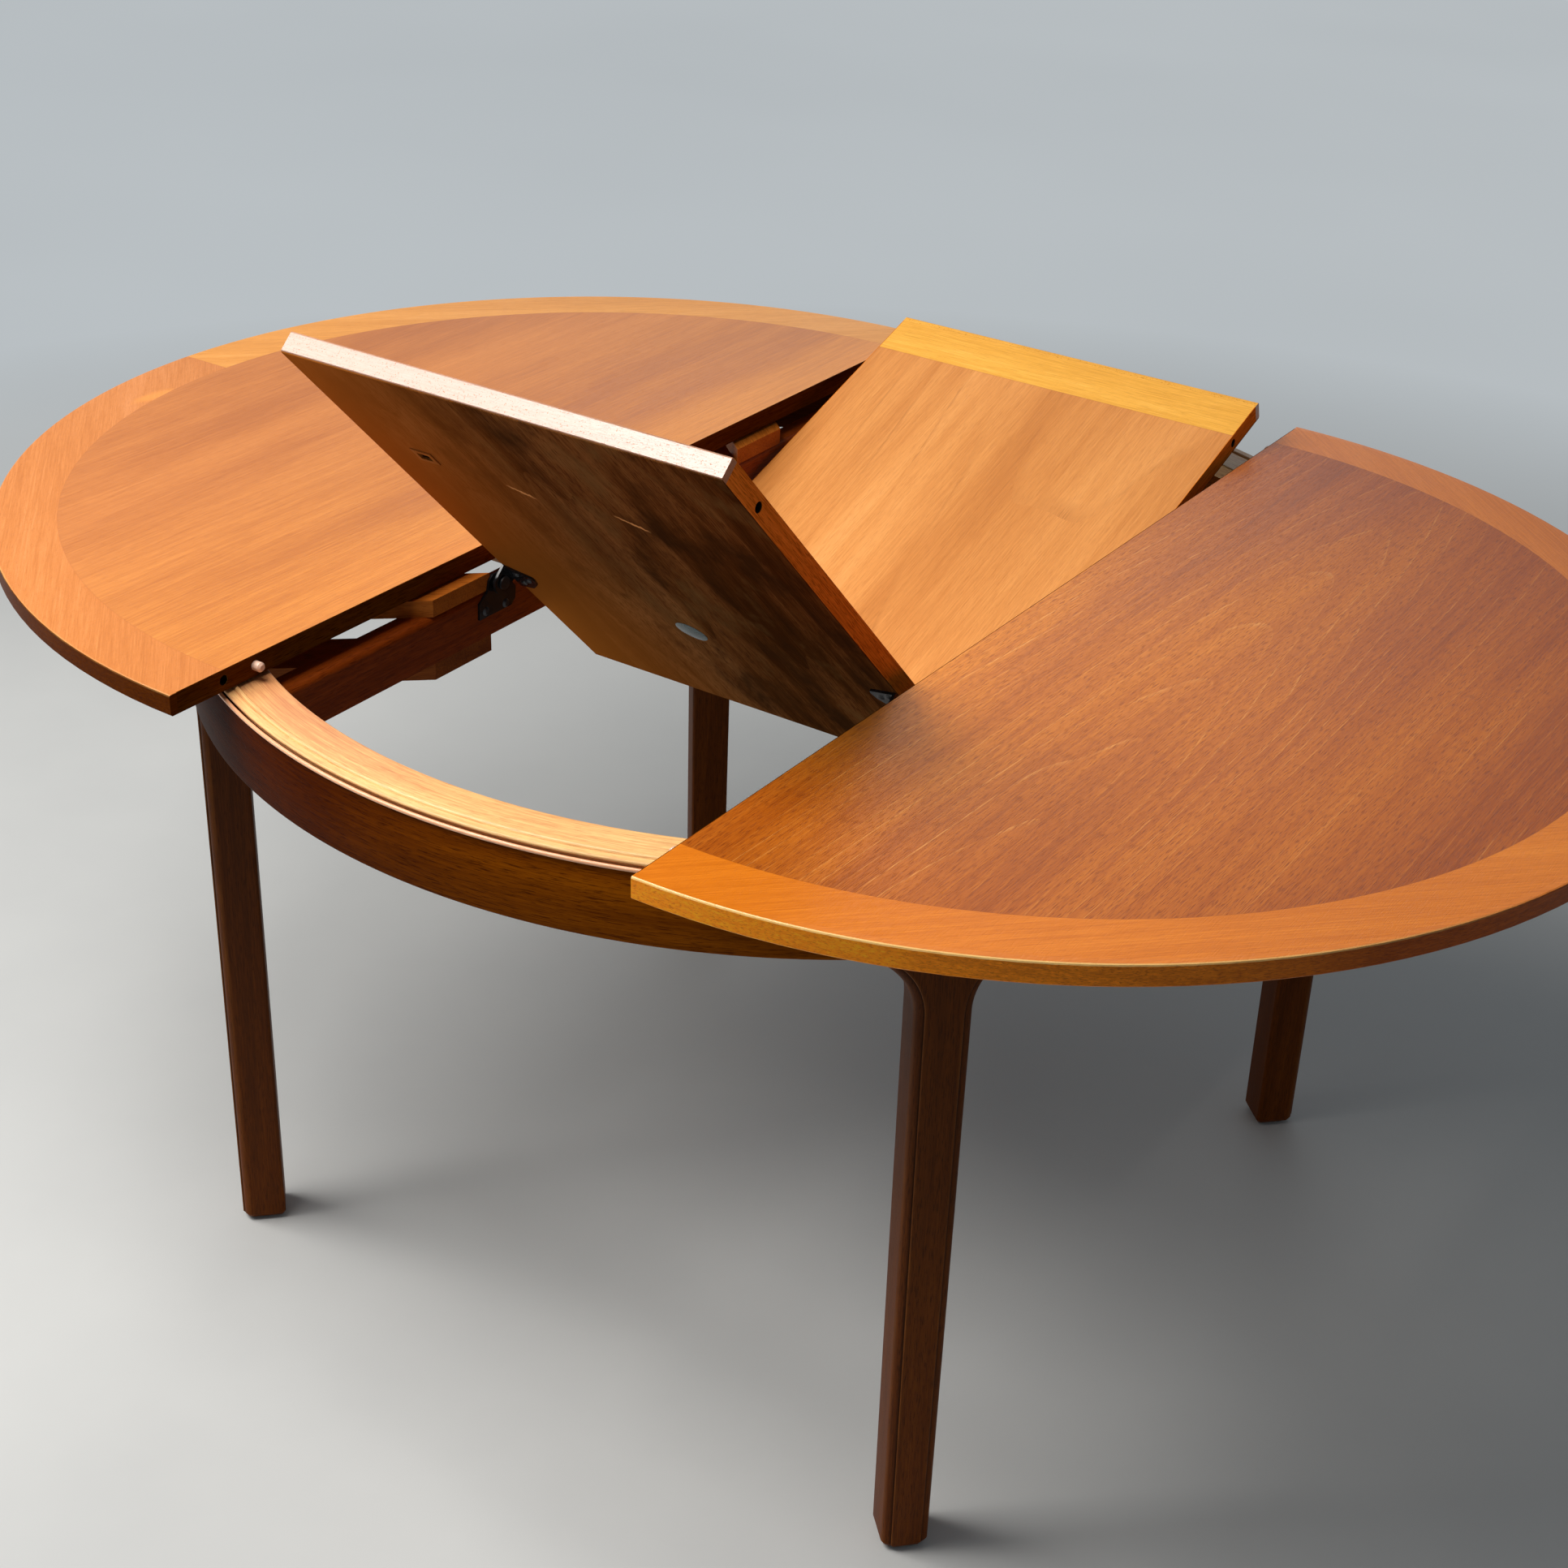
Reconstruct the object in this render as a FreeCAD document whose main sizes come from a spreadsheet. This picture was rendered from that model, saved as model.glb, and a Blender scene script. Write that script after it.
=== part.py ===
import FreeCAD, Part
import math
import os
import Sketcher

Vector = FreeCAD.Vector
Rotation = FreeCAD.Rotation
Placement = FreeCAD.Placement

doc = FreeCAD.newDocument("ButterflyLeafTable")
sheet = doc.addObject("Spreadsheet::Sheet", "Sizes")

# Every size in millimetres or degrees, one aliased cell each
table_sizes = {
    "top_radius": 600.0,
    "top_height": 740.0,
    "top_thick": 20.0,
    "lip_width": 8.0,
    "arris": 1.6,
    "leaf_half": 222.0,
    "top_gap": 20.0,
    "fold_gap": 0.4,
    "pivot_in": 196.0,
    "pivot_drop": 13.5,
    "front_tilt": 46.4,
    "back_rise": 19.0,
    "slide_gap": 0.3,
    "top_over": 10.0,
    "apron_wall": 22.0,
    "apron_drop": 14.0,
    "apron_tall": 64.0,
    "apron_lip": 3.0,
    "cap_reach": 48.0,
    "cap_drop": 4.0,
    "cap_thick": 16.0,
    "cap_bevel": 2.0,
    "bead_set": 10.0,
    "bead_wide": 9.0,
    "leg_set": 25.0,
    "leg_depth": 44.0,
    "leg_foot": 43.5,
    "leg_neck": 48.6,
    "leg_bevel": 7.0,
    "leg_heel": 4.0,
    "flare_radius": 58.0,
    "flare_sweep": 76.0,
    "post_half": 30.0,
    "post_clear": 0.2,
    "bolt_radius": 6.5,
    "bolt_head": 6.0,
    "glide_thick": 4.0,
    "glide_radius": 15.0,
    "well_gap": 7.0,
    "beam_thick": 25.0,
    "beam_tall": 48.0,
    "beam_clear": 2.0,
    "beam_round": 7.0,
    "brace_inset": 177.0,
    "brace_wide": 81.0,
    "brace_clear": 2.0,
    "brace_thick": 17.0,
    "brace_angle": 42.0,
    "screw_radius": 5.0,
    "screw_deep": 2.5,
    "rail_offset": 100.0,
    "rail_half": 28.0,
    "rail_base": 14.0,
    "rail_cheek": 16.0,
    "rail_clear": 3.7,
    "runner_half": 15.5,
    "runner_back": 3.0,
    "runner_play": 0.4,
    "dowel_radius": 4.5,
    "dowel_out": 9.0,
    "dowel_seat": 20.0,
    "dowel_tip": 2.0,
    "dowel_left_in": 99.0,
    "dowel_right_in": 62.0,
    "socket_radius": 4.8,
    "socket_depth": 14.0,
    "plate_thick": 2.5,
    "plate_front": 27.5,
    "plate_back": 26.5,
    "plate_drop": 32.4,
    "plate_head": 11.0,
    "plate_screw": 2.2,
    "pin_radius": 4.0,
    "pin_play": 0.05,
    "pin_head": 2.2,
    "pin_side": 0.4,
    "ear_radius": 12.0,
    "ear_reach": 32.0,
    "ear_half": 30.0,
    "ear_gap": 0.3,
    "ear_screw": 2.0,
    "hinge_at": 120.0,
    "hinge_half": 32.0,
    "hinge_leaf": 22.0,
    "hinge_thick": 1.6,
    "hinge_lift": 0.3,
    "hinge_play": 0.2,
    "knuckle_radius": 2.6,
    "knuckle_play": 0.4,
    "hinge_pin": 1.2,
    "disc_radius": 23.0,
    "disc_thick": 2.0,
    "disc_from_fold": 193.0,
    "strike_side": 161.0,
    "strike_from_fold": 451.0,
    "strike_thick": 1.2,
    "strike_rim": 4.5,
    "slot_half": 7.0,
    "slot_tall": 5.0,
    "slot_deep": 9.0,
    "cut_past": 1.0,
}
for row, (alias, number) in enumerate(table_sizes.items(), start=1):
    sheet.set("A%d" % row, alias)
    sheet.set("B%d" % row, repr(number))
    sheet.setAlias("B%d" % row, alias)
doc.recompute()


# A size that carries both its number and the expression it comes from
class Size:
    def __init__(self, text, number):
        self.text = text
        self.number = float(number)

    def join(self, other, sign, number):
        other = as_size(other)
        return Size("(%s %s %s)" % (self.text, sign, other.text), number)

    def __add__(self, other):
        return self.join(other, "+", self.number + as_size(other).number)

    def __sub__(self, other):
        return self.join(other, "-", self.number - as_size(other).number)

    def __mul__(self, other):
        return self.join(other, "*", self.number * as_size(other).number)

    def __truediv__(self, other):
        return self.join(other, "/", self.number / as_size(other).number)

    def __neg__(self):
        return Size("(0 - %s)" % self.text, -self.number)


def as_size(value):
    if isinstance(value, Size):
        return value
    return Size("(%r)" % float(value), value)


def size(alias):
    return Size("Sizes.%s" % alias, sheet.get(alias))


# Half of the chord that a circle has at a distance from its centre
def chord(radius, offset):
    number = math.sqrt(radius.number ** 2 - offset.number ** 2)
    return Size("sqrt(%s ^ 2 - %s ^ 2)" % (radius.text, offset.text), number)


def bind(item, prop, value):
    value = as_size(value)
    item.setExpression(prop, value.text)


def set_base(item, x, y, z):
    for axis, value in (("x", x), ("y", y), ("z", z)):
        bind(item, "Placement.Base.%s" % axis, value)


counter = {"made": 0}


def new(kind):
    counter["made"] += 1
    return doc.addObject(kind, "Item%03d" % counter["made"])


def box(x, y, z):
    item = new("Part::Box")
    for prop, (low, high) in (("Length", x), ("Width", y), ("Height", z)):
        bind(item, prop, as_size(high) - low)
    set_base(item, x[0], y[0], z[0])
    return item


turns = {
    "z": Rotation(),
    "x": Rotation(Vector(0, 1, 0), 90),
    "-x": Rotation(Vector(0, 1, 0), -90),
    "-z": Rotation(Vector(1, 0, 0), 180),
}


def rod(base, way, radius, height):
    item = new("Part::Cylinder")
    item.Placement = Placement(Vector(), turns[way])
    bind(item, "Radius", radius)
    bind(item, "Height", height)
    set_base(item, *base)
    return item


def cone(base, way, radius, tip, height):
    item = new("Part::Cone")
    item.Placement = Placement(Vector(), turns[way])
    bind(item, "Radius1", radius)
    bind(item, "Radius2", tip)
    bind(item, "Height", height)
    set_base(item, *base)
    return item


def fuse(items):
    item = new("Part::MultiFuse")
    item.Shapes = items
    return item


def group(items):
    item = new("Part::Compound")
    item.Links = items
    return item


def cut(base, tools):
    item = new("Part::Cut")
    item.Base = base
    item.Tool = tools[0] if len(tools) == 1 else group(tools)
    return item


# A body with one closed straight-sided sketch on an origin plane
def outline(plane, corners, lift=None):
    body = new("PartDesign::Body")
    sketch = body.newObject("Sketcher::SketchObject", "%sSketch" % body.Name)
    planes = {feature.Role: feature for feature in body.Origin.OriginFeatures}
    sketch.AttachmentSupport = (planes[plane], [""])
    sketch.MapMode = "FlatFace"
    if lift is not None:
        bind(sketch, "AttachmentOffset.Base.z", lift)
    points = [(as_size(x), as_size(y)) for x, y in corners]
    count = len(points)
    for index in range(count):
        ends = [points[index], points[(index + 1) % count]]
        line = Part.LineSegment(*[Vector(x.number, y.number, 0) for x, y in ends])
        sketch.addGeometry(line)
    for index in range(count):
        sketch.addConstraint(Sketcher.Constraint("Coincident", index, 2, (index + 1) % count, 1))
    for index, point in enumerate(points):
        for kind, value, axis, tag in (("DistanceX", point[0], -2, "x"), ("DistanceY", point[1], -1, "y")):
            if abs(value.number) < 1e-9:
                sketch.addConstraint(Sketcher.Constraint("PointOnObject", index, 1, axis))
                continue
            at = sketch.addConstraint(Sketcher.Constraint(kind, -1, 1, index, 1, value.number))
            name = "%s%d" % (tag, index)
            sketch.renameConstraint(at, name)
            sketch.setExpression("Constraints.%s" % name, value.text)
    doc.recompute()
    return body, sketch


def pad(body, sketch, length, midplane=False, backward=False):
    feature = body.newObject("PartDesign::Pad", "%sPad" % body.Name)
    feature.Profile = sketch
    feature.Midplane = midplane
    feature.Reversed = backward
    bind(feature, "Length", length)
    body.Tip = feature
    doc.recompute()
    return body


def sweep_round(body, sketch, angle):
    feature = body.newObject("PartDesign::Revolution", "%sTurn" % body.Name)
    feature.Profile = sketch
    feature.ReferenceAxis = (sketch, ["V_Axis"])
    feature.Midplane = True
    feature.Angle = angle
    body.Tip = feature
    doc.recompute()
    return body


# Round the straight edges of the body's tip that pass a test on their middle point
def round_edges(body, radius, wanted):
    tip = body.Tip
    names = []
    for index, edge in enumerate(tip.Shape.Edges, start=1):
        first, last = edge.ParameterRange
        if wanted(edge, edge.valueAt((first + last) / 2)):
            names.append("Edge%d" % index)
    feature = body.newObject("PartDesign::Fillet", "%sRound" % body.Name)
    feature.Base = (tip, names)
    bind(feature, "Radius", radius)
    body.Tip = feature
    doc.recompute()
    return body


nodes = {}


def name_node(label, item):
    item.Label = label
    nodes[label] = item
    return item


def turn_about_z(item, degrees):
    item.Placement = Placement(Vector(), Rotation(Vector(0, 0, 1), degrees))


sides = (("left", -1), ("right", 1))
ends = (("front", -1), ("back", 1))
quarters = (("front_left", -1, -1), ("front_right", 1, -1), ("back_right", 1, 1), ("back_left", -1, 1))

top_high = size("top_height")
top_low = size("top_height") - size("top_thick")
bead_top = top_low - size("slide_gap")
pivot_y = -size("pivot_in")
pivot_z = top_low - size("pivot_drop")
past = size("cut_past")

# Levels of the frame, measured down from the underside of the top
apron_top = top_low - size("apron_drop")
apron_low = apron_top - size("apron_tall")
cap_top = top_low - size("cap_drop")
cap_low = cap_top - size("cap_thick")
beam_low = cap_low - size("beam_tall")

# Places beside the leaf, and rings that follow the top's radius; each flap is as long as that radius
half_gap = size("leaf_half") + size("top_gap")
beam_face = size("leaf_half") + size("well_gap")
leaf_length = size("top_radius")
apron_out = size("top_radius") - size("top_over")
apron_in = apron_out - size("apron_wall")
cap_in = apron_out - size("cap_reach")
bead_out = apron_out - size("bead_set")
bead_in = bead_out - size("bead_wide")
leg_ring = apron_out - size("leg_set")
beam_outer = beam_face + size("beam_thick")
beam_half = chord(apron_in, beam_outer) - size("beam_clear")
brace_end = cap_in - size("brace_clear")
rail_corner = size("rail_offset") + size("rail_half")
rail_end = chord(cap_in, rail_corner) - size("rail_clear")
rail_foot = chord(apron_in, rail_corner) - size("rail_clear")
runner_end = rail_end - size("runner_back")
dowel_rows = {
    "left": size("top_radius") - size("dowel_left_in"),
    "right": size("top_radius") - size("dowel_right_in"),
}


def mirrored(sign, low, high):
    return (low, high) if sign > 0 else (-as_size(high), -as_size(low))


# Apron: outer band and inner cap ring, each in four quarter segments
lip = size("apron_lip")
bevel = size("cap_bevel")
band_corners = [
    (apron_in, apron_low),
    (apron_out, apron_low),
    (apron_out, apron_top - lip),
    (apron_out - lip * 0.3, apron_top - lip * 0.3),
    (apron_out - lip, apron_top),
    (apron_in, apron_top),
]
cap_corners = [
    (cap_in, cap_low),
    (apron_in, cap_low),
    (apron_in, apron_top),
    (bead_out, apron_top),
    (bead_out, bead_top - bevel),
    (bead_out - bevel, bead_top),
    (bead_in + bevel, bead_top),
    (bead_in, cap_top),
    (cap_in + bevel, cap_top),
    (cap_in, cap_top - bevel),
]
for word, degrees in (("right", 0), ("back", 90), ("left", 180), ("front", 270)):
    for prefix, corners in (("apron_band", band_corners), ("cap_ring", cap_corners)):
        segment = sweep_round(*outline("XZ_Plane", corners), 90)
        turn_about_z(segment, degrees)
        name_node("%s_%s" % (prefix, word), segment)


# Legs: eight-sided sections lofted from foot to flare, with a post behind the apron band
def leg_section(half, depth, bevel, ring, height):
    low = ring - depth / 2
    high = ring + depth / 2
    points = [
        (low + bevel, -half), (high - bevel, -half), (high, -half + bevel), (high, half - bevel),
        (high - bevel, half), (low + bevel, half), (low, half - bevel), (low, -half + bevel),
    ]
    corners = [Vector(x, y, height) for x, y in points]
    return Part.makePolygon(corners + corners[:1])


def leg_shape():
    values = {alias: sheet.get(alias) for alias in table_sizes}
    ring, depth, chamfer = leg_ring.number, values["leg_depth"], values["leg_bevel"]
    foot, neck = values["leg_foot"] / 2, values["leg_neck"] / 2
    radius, top, start = values["flare_radius"], apron_low.number, values["glide_thick"]
    spring = top - radius
    heel = values["leg_heel"]
    straight = [
        leg_section(foot - heel / 2, depth - heel, chamfer, ring, start),
        leg_section(foot, depth, chamfer, ring, start + heel),
        leg_section(neck, depth, chamfer, ring, spring),
    ]
    shaft = Part.makeLoft(straight, True, True)
    sweep = math.radians(values["flare_sweep"])
    curve = []
    for share in (0, 1 / 6, 1 / 3, 1 / 2, 2 / 3, 5 / 6, 1):
        wide = neck + radius * (1 - math.cos(sweep * share))
        curve.append(leg_section(wide, depth, chamfer, ring, spring + radius * math.sin(sweep * share)))
    flare = Part.makeLoft(curve, True, False)
    last = radius * math.sin(sweep)
    tip = Part.makeLoft([curve[-1], leg_section(wide, depth, chamfer, ring, top)], True, True)
    post_in = ring - depth / 2
    post_out = chord(apron_in, size("post_half")).number - values["post_clear"]
    post = Part.makeBox(post_out - post_in, 2 * values["post_half"], cap_low.number - spring - last,
                        Vector(post_in, -values["post_half"], spring + last))
    return shaft.fuse([flare, tip, post]).removeSplitter()


leg_base_shape = leg_shape()
leg_angles = {"front_left": 225, "front_right": 315, "back_right": 45, "back_left": 135}
for word, degrees in leg_angles.items():
    leg = new("Part::Feature")
    leg.Shape = leg_base_shape
    turn_about_z(leg, degrees)
    name_node("leg_%s" % word, leg)

# Glides under the feet and bolts that hold the leg posts to the apron
leg_x = leg_ring * math.sqrt(0.5)
glides = [rod((leg_x * sx, leg_x * sy, 0), "z", size("glide_radius"), size("glide_thick"))
          for word, sx, sy in quarters]
name_node("foot_glides", group(glides))

bolts = []
for word, degrees in leg_angles.items():
    pair = []
    for share in (0.34, 0.72):
        level = beam_low * (1 - share) + cap_low * share
        start = leg_ring - size("leg_depth") / 2 - size("bolt_head")
        pair.append(rod((start, 0, level), "x", size("bolt_radius"), size("bolt_head")))
    head = fuse(pair)
    turn_about_z(head, degrees)
    bolts.append(head)
name_node("leg_bolts", group(bolts))

# Beams on each side of the leaf well, rounded along the upper edges
for word, sign in sides:
    low, high = mirrored(sign, beam_face, beam_outer)
    corners = [(low, beam_low), (high, beam_low), (high, cap_low), (low, cap_low)]
    beam = pad(*outline("XZ_Plane", corners), beam_half * 2, midplane=True)
    level = cap_low.number

    def upper_long(edge, middle):
        along = abs(edge.tangentAt(edge.ParameterRange[0]).y) > 0.99
        return along and abs(middle.z - level) < 0.01 and abs(abs(middle.x) - beam_face.number) < 0.01

    name_node("beam_%s" % word, round_edges(beam, size("beam_round"), upper_long))


# Diagonal braces, cut flush with the beam and square across in front of the leg
near = brace_end * math.sqrt(0.5) - size("brace_inset")
far = near + size("brace_wide")
face = beam_face
diagonal = brace_end * math.sqrt(2)
slant = math.radians(size("brace_angle").number)
way_x, way_y = math.cos(slant), math.sin(slant)
reach_near = (diagonal - face - near) / (way_x + way_y)
reach_far = (diagonal - face - far) / (way_x + way_y)
plan = [
    (face, near),
    (face + reach_near * way_x, near + reach_near * way_y),
    (face + reach_far * way_x, far + reach_far * way_y),
    (face, far),
]
for level_word, start in (("upper", cap_low), ("lower", beam_low - size("brace_thick"))):
    for word, sx, sy in quarters:
        corners = [(x * sx, y * sy) for x, y in plan]
        brace = pad(*outline("XY_Plane", corners, start), size("brace_thick"))
        name_node("brace_%s_%s" % (level_word, word), brace)

screw_level = beam_low - size("brace_thick") - size("screw_deep")
screws = []
for word, sx, sy in quarters:
    for share in (0.27, 0.54):
        spot = (face + size("beam_thick") / 2) * sx, (near + (far - near) * share) * sy
        screws.append(cone((*spot, screw_level), "z", size("screw_radius") * 0.64, size("screw_radius"),
                           size("screw_deep")))
name_node("brace_screws", group(screws))

# Guide rails under the tops and the runners that slide in them
for word, sx in sides:
    for end_word, sy in ends:
        middle, wide = size("rail_offset"), size("runner_half") + size("runner_play")
        rail_y = mirrored(sy, middle - size("rail_half"), rail_corner)
        slot_y = mirrored(sy, middle - wide, middle + wide)
        span = mirrored(sx, beam_outer, rail_end)
        bed = mirrored(sx, beam_outer, rail_foot)
        bottom = cap_low - size("rail_base")
        cheek_top = cap_low + size("rail_cheek")
        body = fuse([box(span, rail_y, (bottom, cheek_top)),
                     box(bed, rail_y, (bottom, cap_low - size("slide_gap")))])
        slot = box((span[0] - past, span[1] + past), slot_y, (cap_low, cheek_top + past))
        name_node("guide_rail_%s_%s" % (word, end_word), cut(body, [slot]))
        run_x = mirrored(sx, half_gap + size("runner_back"), runner_end)
        run_y = mirrored(sy, middle - size("runner_half"), middle + size("runner_half"))
        runner = box(run_x, run_y, (cap_low + size("slide_gap"), top_low))
        name_node("runner_%s_%s" % (word, end_word), runner)

# Half-round tops: board, lipping, dowels and sockets in the cut edge
board_edge = size("top_radius") - size("lip_width")
arris = size("arris")
board_corners = [(0, top_low), (board_edge, top_low), (board_edge, top_high), (0, top_high)]
lipping_corners = [
    (board_edge, top_low),
    (size("top_radius") - arris, top_low),
    (size("top_radius"), top_low + arris),
    (size("top_radius"), top_high - arris),
    (size("top_radius") - arris * 0.3, top_high - arris * 0.3),
    (size("top_radius") - arris, top_high),
    (board_edge, top_high),
]
dowel_level = top_high - size("top_thick") / 2
for word, sign in sides:
    inward = "x" if sign < 0 else "-x"
    outward = "-x" if sign < 0 else "x"
    cut_edge = half_gap * sign
    board = sweep_round(*outline("XZ_Plane", board_corners), 180)
    lipping = sweep_round(*outline("XZ_Plane", lipping_corners), 180)
    for item in (board, lipping):
        if sign < 0:
            turn_about_z(item, 180)
        bind(item, "Placement.Base.x", cut_edge)
    own, other = dowel_rows[word], dowel_rows["right" if sign < 0 else "left"]
    seat = size("dowel_seat")
    bare = size("dowel_out") - size("dowel_tip")
    tools = []
    dowels = []
    for sy in (-1, 1):
        spot = (cut_edge, own * sy, dowel_level)
        tools.append(rod(spot, outward, size("dowel_radius"), seat))
        tools.append(rod((cut_edge, other * sy, dowel_level), outward, size("socket_radius"),
                         size("socket_depth")))
        shank = rod((cut_edge + seat * sign, own * sy, dowel_level), inward, size("dowel_radius"),
                    bare + seat)
        tip = cone((cut_edge - bare * sign, own * sy, dowel_level), inward, size("dowel_radius"),
                   size("dowel_radius") * 0.6, size("dowel_tip"))
        dowels.append(fuse([shank, tip]))
    name_node("top_board_%s" % word, cut(board, tools))
    name_node("top_lipping_%s" % word, lipping)
    name_node("dowels_%s" % word, group(dowels))

# Pivot bracket plates on the beams, with pins and screws
thick = size("plate_thick")
before, behind = size("plate_front"), size("plate_back")
drop, crown = size("plate_drop"), size("plate_head")
screw = size("plate_screw")
plate_corners = [
    (pivot_y - before, pivot_z - drop),
    (pivot_y + before * 0.7, pivot_z - drop),
    (pivot_y + behind * 0.96, pivot_z - drop * 0.83),
    (pivot_y + behind, pivot_z - drop * 0.47),
    (pivot_y + crown * 1.27, pivot_z + crown * 0.1),
    (pivot_y + crown * 0.73, pivot_z + crown * 0.76),
    (pivot_y - crown * 0.6, pivot_z + crown * 0.76),
    (pivot_y - crown * 1.1, pivot_z + crown * 0.3),
    (pivot_y - crown * 1.32, pivot_z - crown * 0.65),
    (pivot_y - before * 0.98, pivot_z - drop * 0.5),
]
screw_spots = [
    (pivot_y - before * 0.65, pivot_z - drop * 0.8),
    (pivot_y + behind * 0.42, pivot_z - drop * 0.85),
]
plate_screws = []
for word, sign in sides:
    inward = "x" if sign < 0 else "-x"
    wall = face * sign
    backward = sign > 0
    plate = pad(*outline("YZ_Plane", plate_corners, wall), thick, backward=backward)
    tools = [rod((wall, pivot_y, pivot_z), inward, size("pin_radius"), thick)]
    for y, z in screw_spots:
        tools.append(rod((wall, y, z), inward, screw, thick))
        shank = rod((wall, y, z), inward, screw, thick)
        head = cone((wall - thick * sign, y, z), inward, screw * 2.1, screw * 1.2, screw * 0.8)
        plate_screws.append(fuse([shank, head]))
    name_node("pivot_plate_%s" % word, cut(plate, tools))
    head_at = size("leaf_half") - size("ear_gap") - thick - size("pin_side")
    shaft = rod((wall, pivot_y, pivot_z), inward, size("pin_radius"), face - head_at + size("pin_head"))
    collar = rod((wall - thick * sign, pivot_y, pivot_z), inward, size("pin_radius") * 1.6,
                 face - size("leaf_half") - thick - size("pin_side") / 2)
    head = rod((head_at * sign, pivot_y, pivot_z), inward, size("pin_radius") * 1.65, size("pin_head"))
    name_node("pivot_pin_%s" % word, fuse([shaft, collar, head]))
name_node("plate_screws", group(plate_screws))

# The leaf is drawn flat in its opened place, then turned into its half-raised pose
front_pose = ("placement(vector(0; 0; 0); rotation(vector(1; 0; 0); 0 - Sizes.front_tilt); "
              "vector(0; %s; %s))" % (pivot_y.text, pivot_z.text))
fold_z = top_high + size("hinge_lift")
back_pose = ("%s * placement(vector(0; 0; 0); "
             "rotation(vector(1; 0; 0); Sizes.front_tilt + Sizes.back_rise); "
             "vector(0; 0; %s))" % (front_pose, fold_z.text))
poses = {"front": front_pose, "back": back_pose}


def leaf_node(label, item, which):
    item.setExpression("Placement", poses[which])
    return name_node(label, item)


# Knuckles of the fold hinges: the front flap has the outer ones, the back flap the middle one
knuckles = {"front": ((-1.0, -0.36), (0.36, 1.0)), "back": ((-0.34, 0.34),)}
hinge_low = top_high - size("hinge_thick")
half = size("hinge_half")
slot_x = (-size("strike_side") - size("slot_half"), -size("strike_side") + size("slot_half"))
slot_y = (-size("strike_from_fold") - size("slot_tall"), -size("strike_from_fold") + size("slot_tall"))
for which, sy in ends:
    edge_y = size("fold_gap") / 2
    board_y = mirrored(sy, edge_y, leaf_length - size("lip_width"))
    board = box((-size("leaf_half"), size("leaf_half")), board_y, (top_low, top_high))
    tools = []
    plates = []
    for sx in (-1, 1):
        middle = size("hinge_at") * sx
        room, swing = half + size("hinge_play"), half + size("knuckle_play")
        clear = size("knuckle_radius") + size("knuckle_play")
        recess = box((middle - room, middle + room),
                     mirrored(sy, 0, size("hinge_leaf") + size("hinge_play")), (hinge_low, top_high + past))
        notch = rod((middle - swing, 0, fold_z), "x", clear, swing * 2)
        tools += [recess, notch]
        pieces = [box((middle - half, middle + half),
                      mirrored(sy, clear, size("hinge_leaf")), (hinge_low, top_high))]
        bores = []
        for low, high in knuckles[which]:
            start, length = middle + half * low, half * (high - low)
            web_y = mirrored(sy, size("hinge_pin") / 2, size("hinge_leaf") / 2)
            pieces.append(box((start, start + length), web_y, (hinge_low, top_high)))
            pieces.append(rod((start, 0, fold_z), "x", size("knuckle_radius"), length))
            play = 0.0 if which == "front" else size("pin_play")
            bores.append(rod((start - past, 0, fold_z), "x", size("hinge_pin") + play, length + past * 2))
        plates.append(cut(fuse(pieces), bores))
        own = dowel_rows["left" if sx < 0 else "right"]
        tools.append(rod((size("leaf_half") * sx, own * sy, dowel_level), "x" if sx < 0 else "-x",
                         size("socket_radius"), size("socket_depth")))
    if which == "front":
        tools.append(box(slot_x, slot_y, (top_low - past, top_low + size("slot_deep"))))
    leaf_node("leaf_board_%s" % which, cut(board, tools), which)
    leaf_node("hinge_plates_%s" % which, group(plates), which)
    out, inn = leaf_length * sy, (leaf_length - size("lip_width")) * sy
    corners = [
        (inn, top_low), (out - arris * sy, top_low), (out, top_low + arris),
        (out, top_high - arris), (out - arris * 0.3 * sy, top_high - arris * 0.3),
        (out - arris * sy, top_high), (inn, top_high),
    ]
    end_strip = pad(*outline("YZ_Plane", corners), size("leaf_half") * 2, midplane=True)
    leaf_node("leaf_lipping_%s" % which, end_strip, which)

pins = [rod((size("hinge_at") * sx - half, 0, fold_z), "x", size("hinge_pin"), half * 2) for sx in (-1, 1)]
leaf_node("hinge_pins", group(pins), "front")

# Ears that carry the front flap on the pivot pins
flange_plan = ((0, -0.4), (0.96, -0.03), (1, 0.14), (0.9, 0.5), (0.6, 0.85), (0, 1))
ear_screws = []
for word, sign in sides:
    ear_out = size("leaf_half") - size("ear_gap")
    ear_x = mirrored(sign, ear_out - thick, ear_out)
    span = size("ear_reach") - size("ear_gap")
    web_y = (pivot_y - size("ear_radius"), pivot_y + size("ear_radius"))
    corners = [((ear_out - span * across) * sign, pivot_y + size("ear_half") * along)
               for across, along in flange_plan]
    flange = pad(*outline("XY_Plane", corners, top_low - thick), thick)
    disc = rod((ear_x[0], pivot_y, pivot_z), "x", size("ear_radius"), thick)
    pieces = [disc, box(ear_x, web_y, (pivot_z, top_low)), flange]
    bores = [rod((ear_x[0] - past, pivot_y, pivot_z), "x", size("pin_radius") + size("pin_play"),
                 thick + past * 2)]
    screw = size("ear_screw")
    for across, along in ((0.36, 0.0), (0.7, 0.25), (0.36, 0.58)):
        spot = ((size("leaf_half") - size("ear_reach") * across) * sign, pivot_y + size("ear_half") * along)
        bores.append(rod((*spot, top_low - thick), "z", screw, thick))
        shank = rod((*spot, top_low - thick), "z", screw, thick)
        head = cone((*spot, top_low - thick), "-z", screw * 1.9, screw * 1.1, screw * 0.75)
        ear_screws.append(fuse([shank, head]))
    leaf_node("pivot_ear_%s" % word, cut(fuse(pieces), bores), "front")
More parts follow.
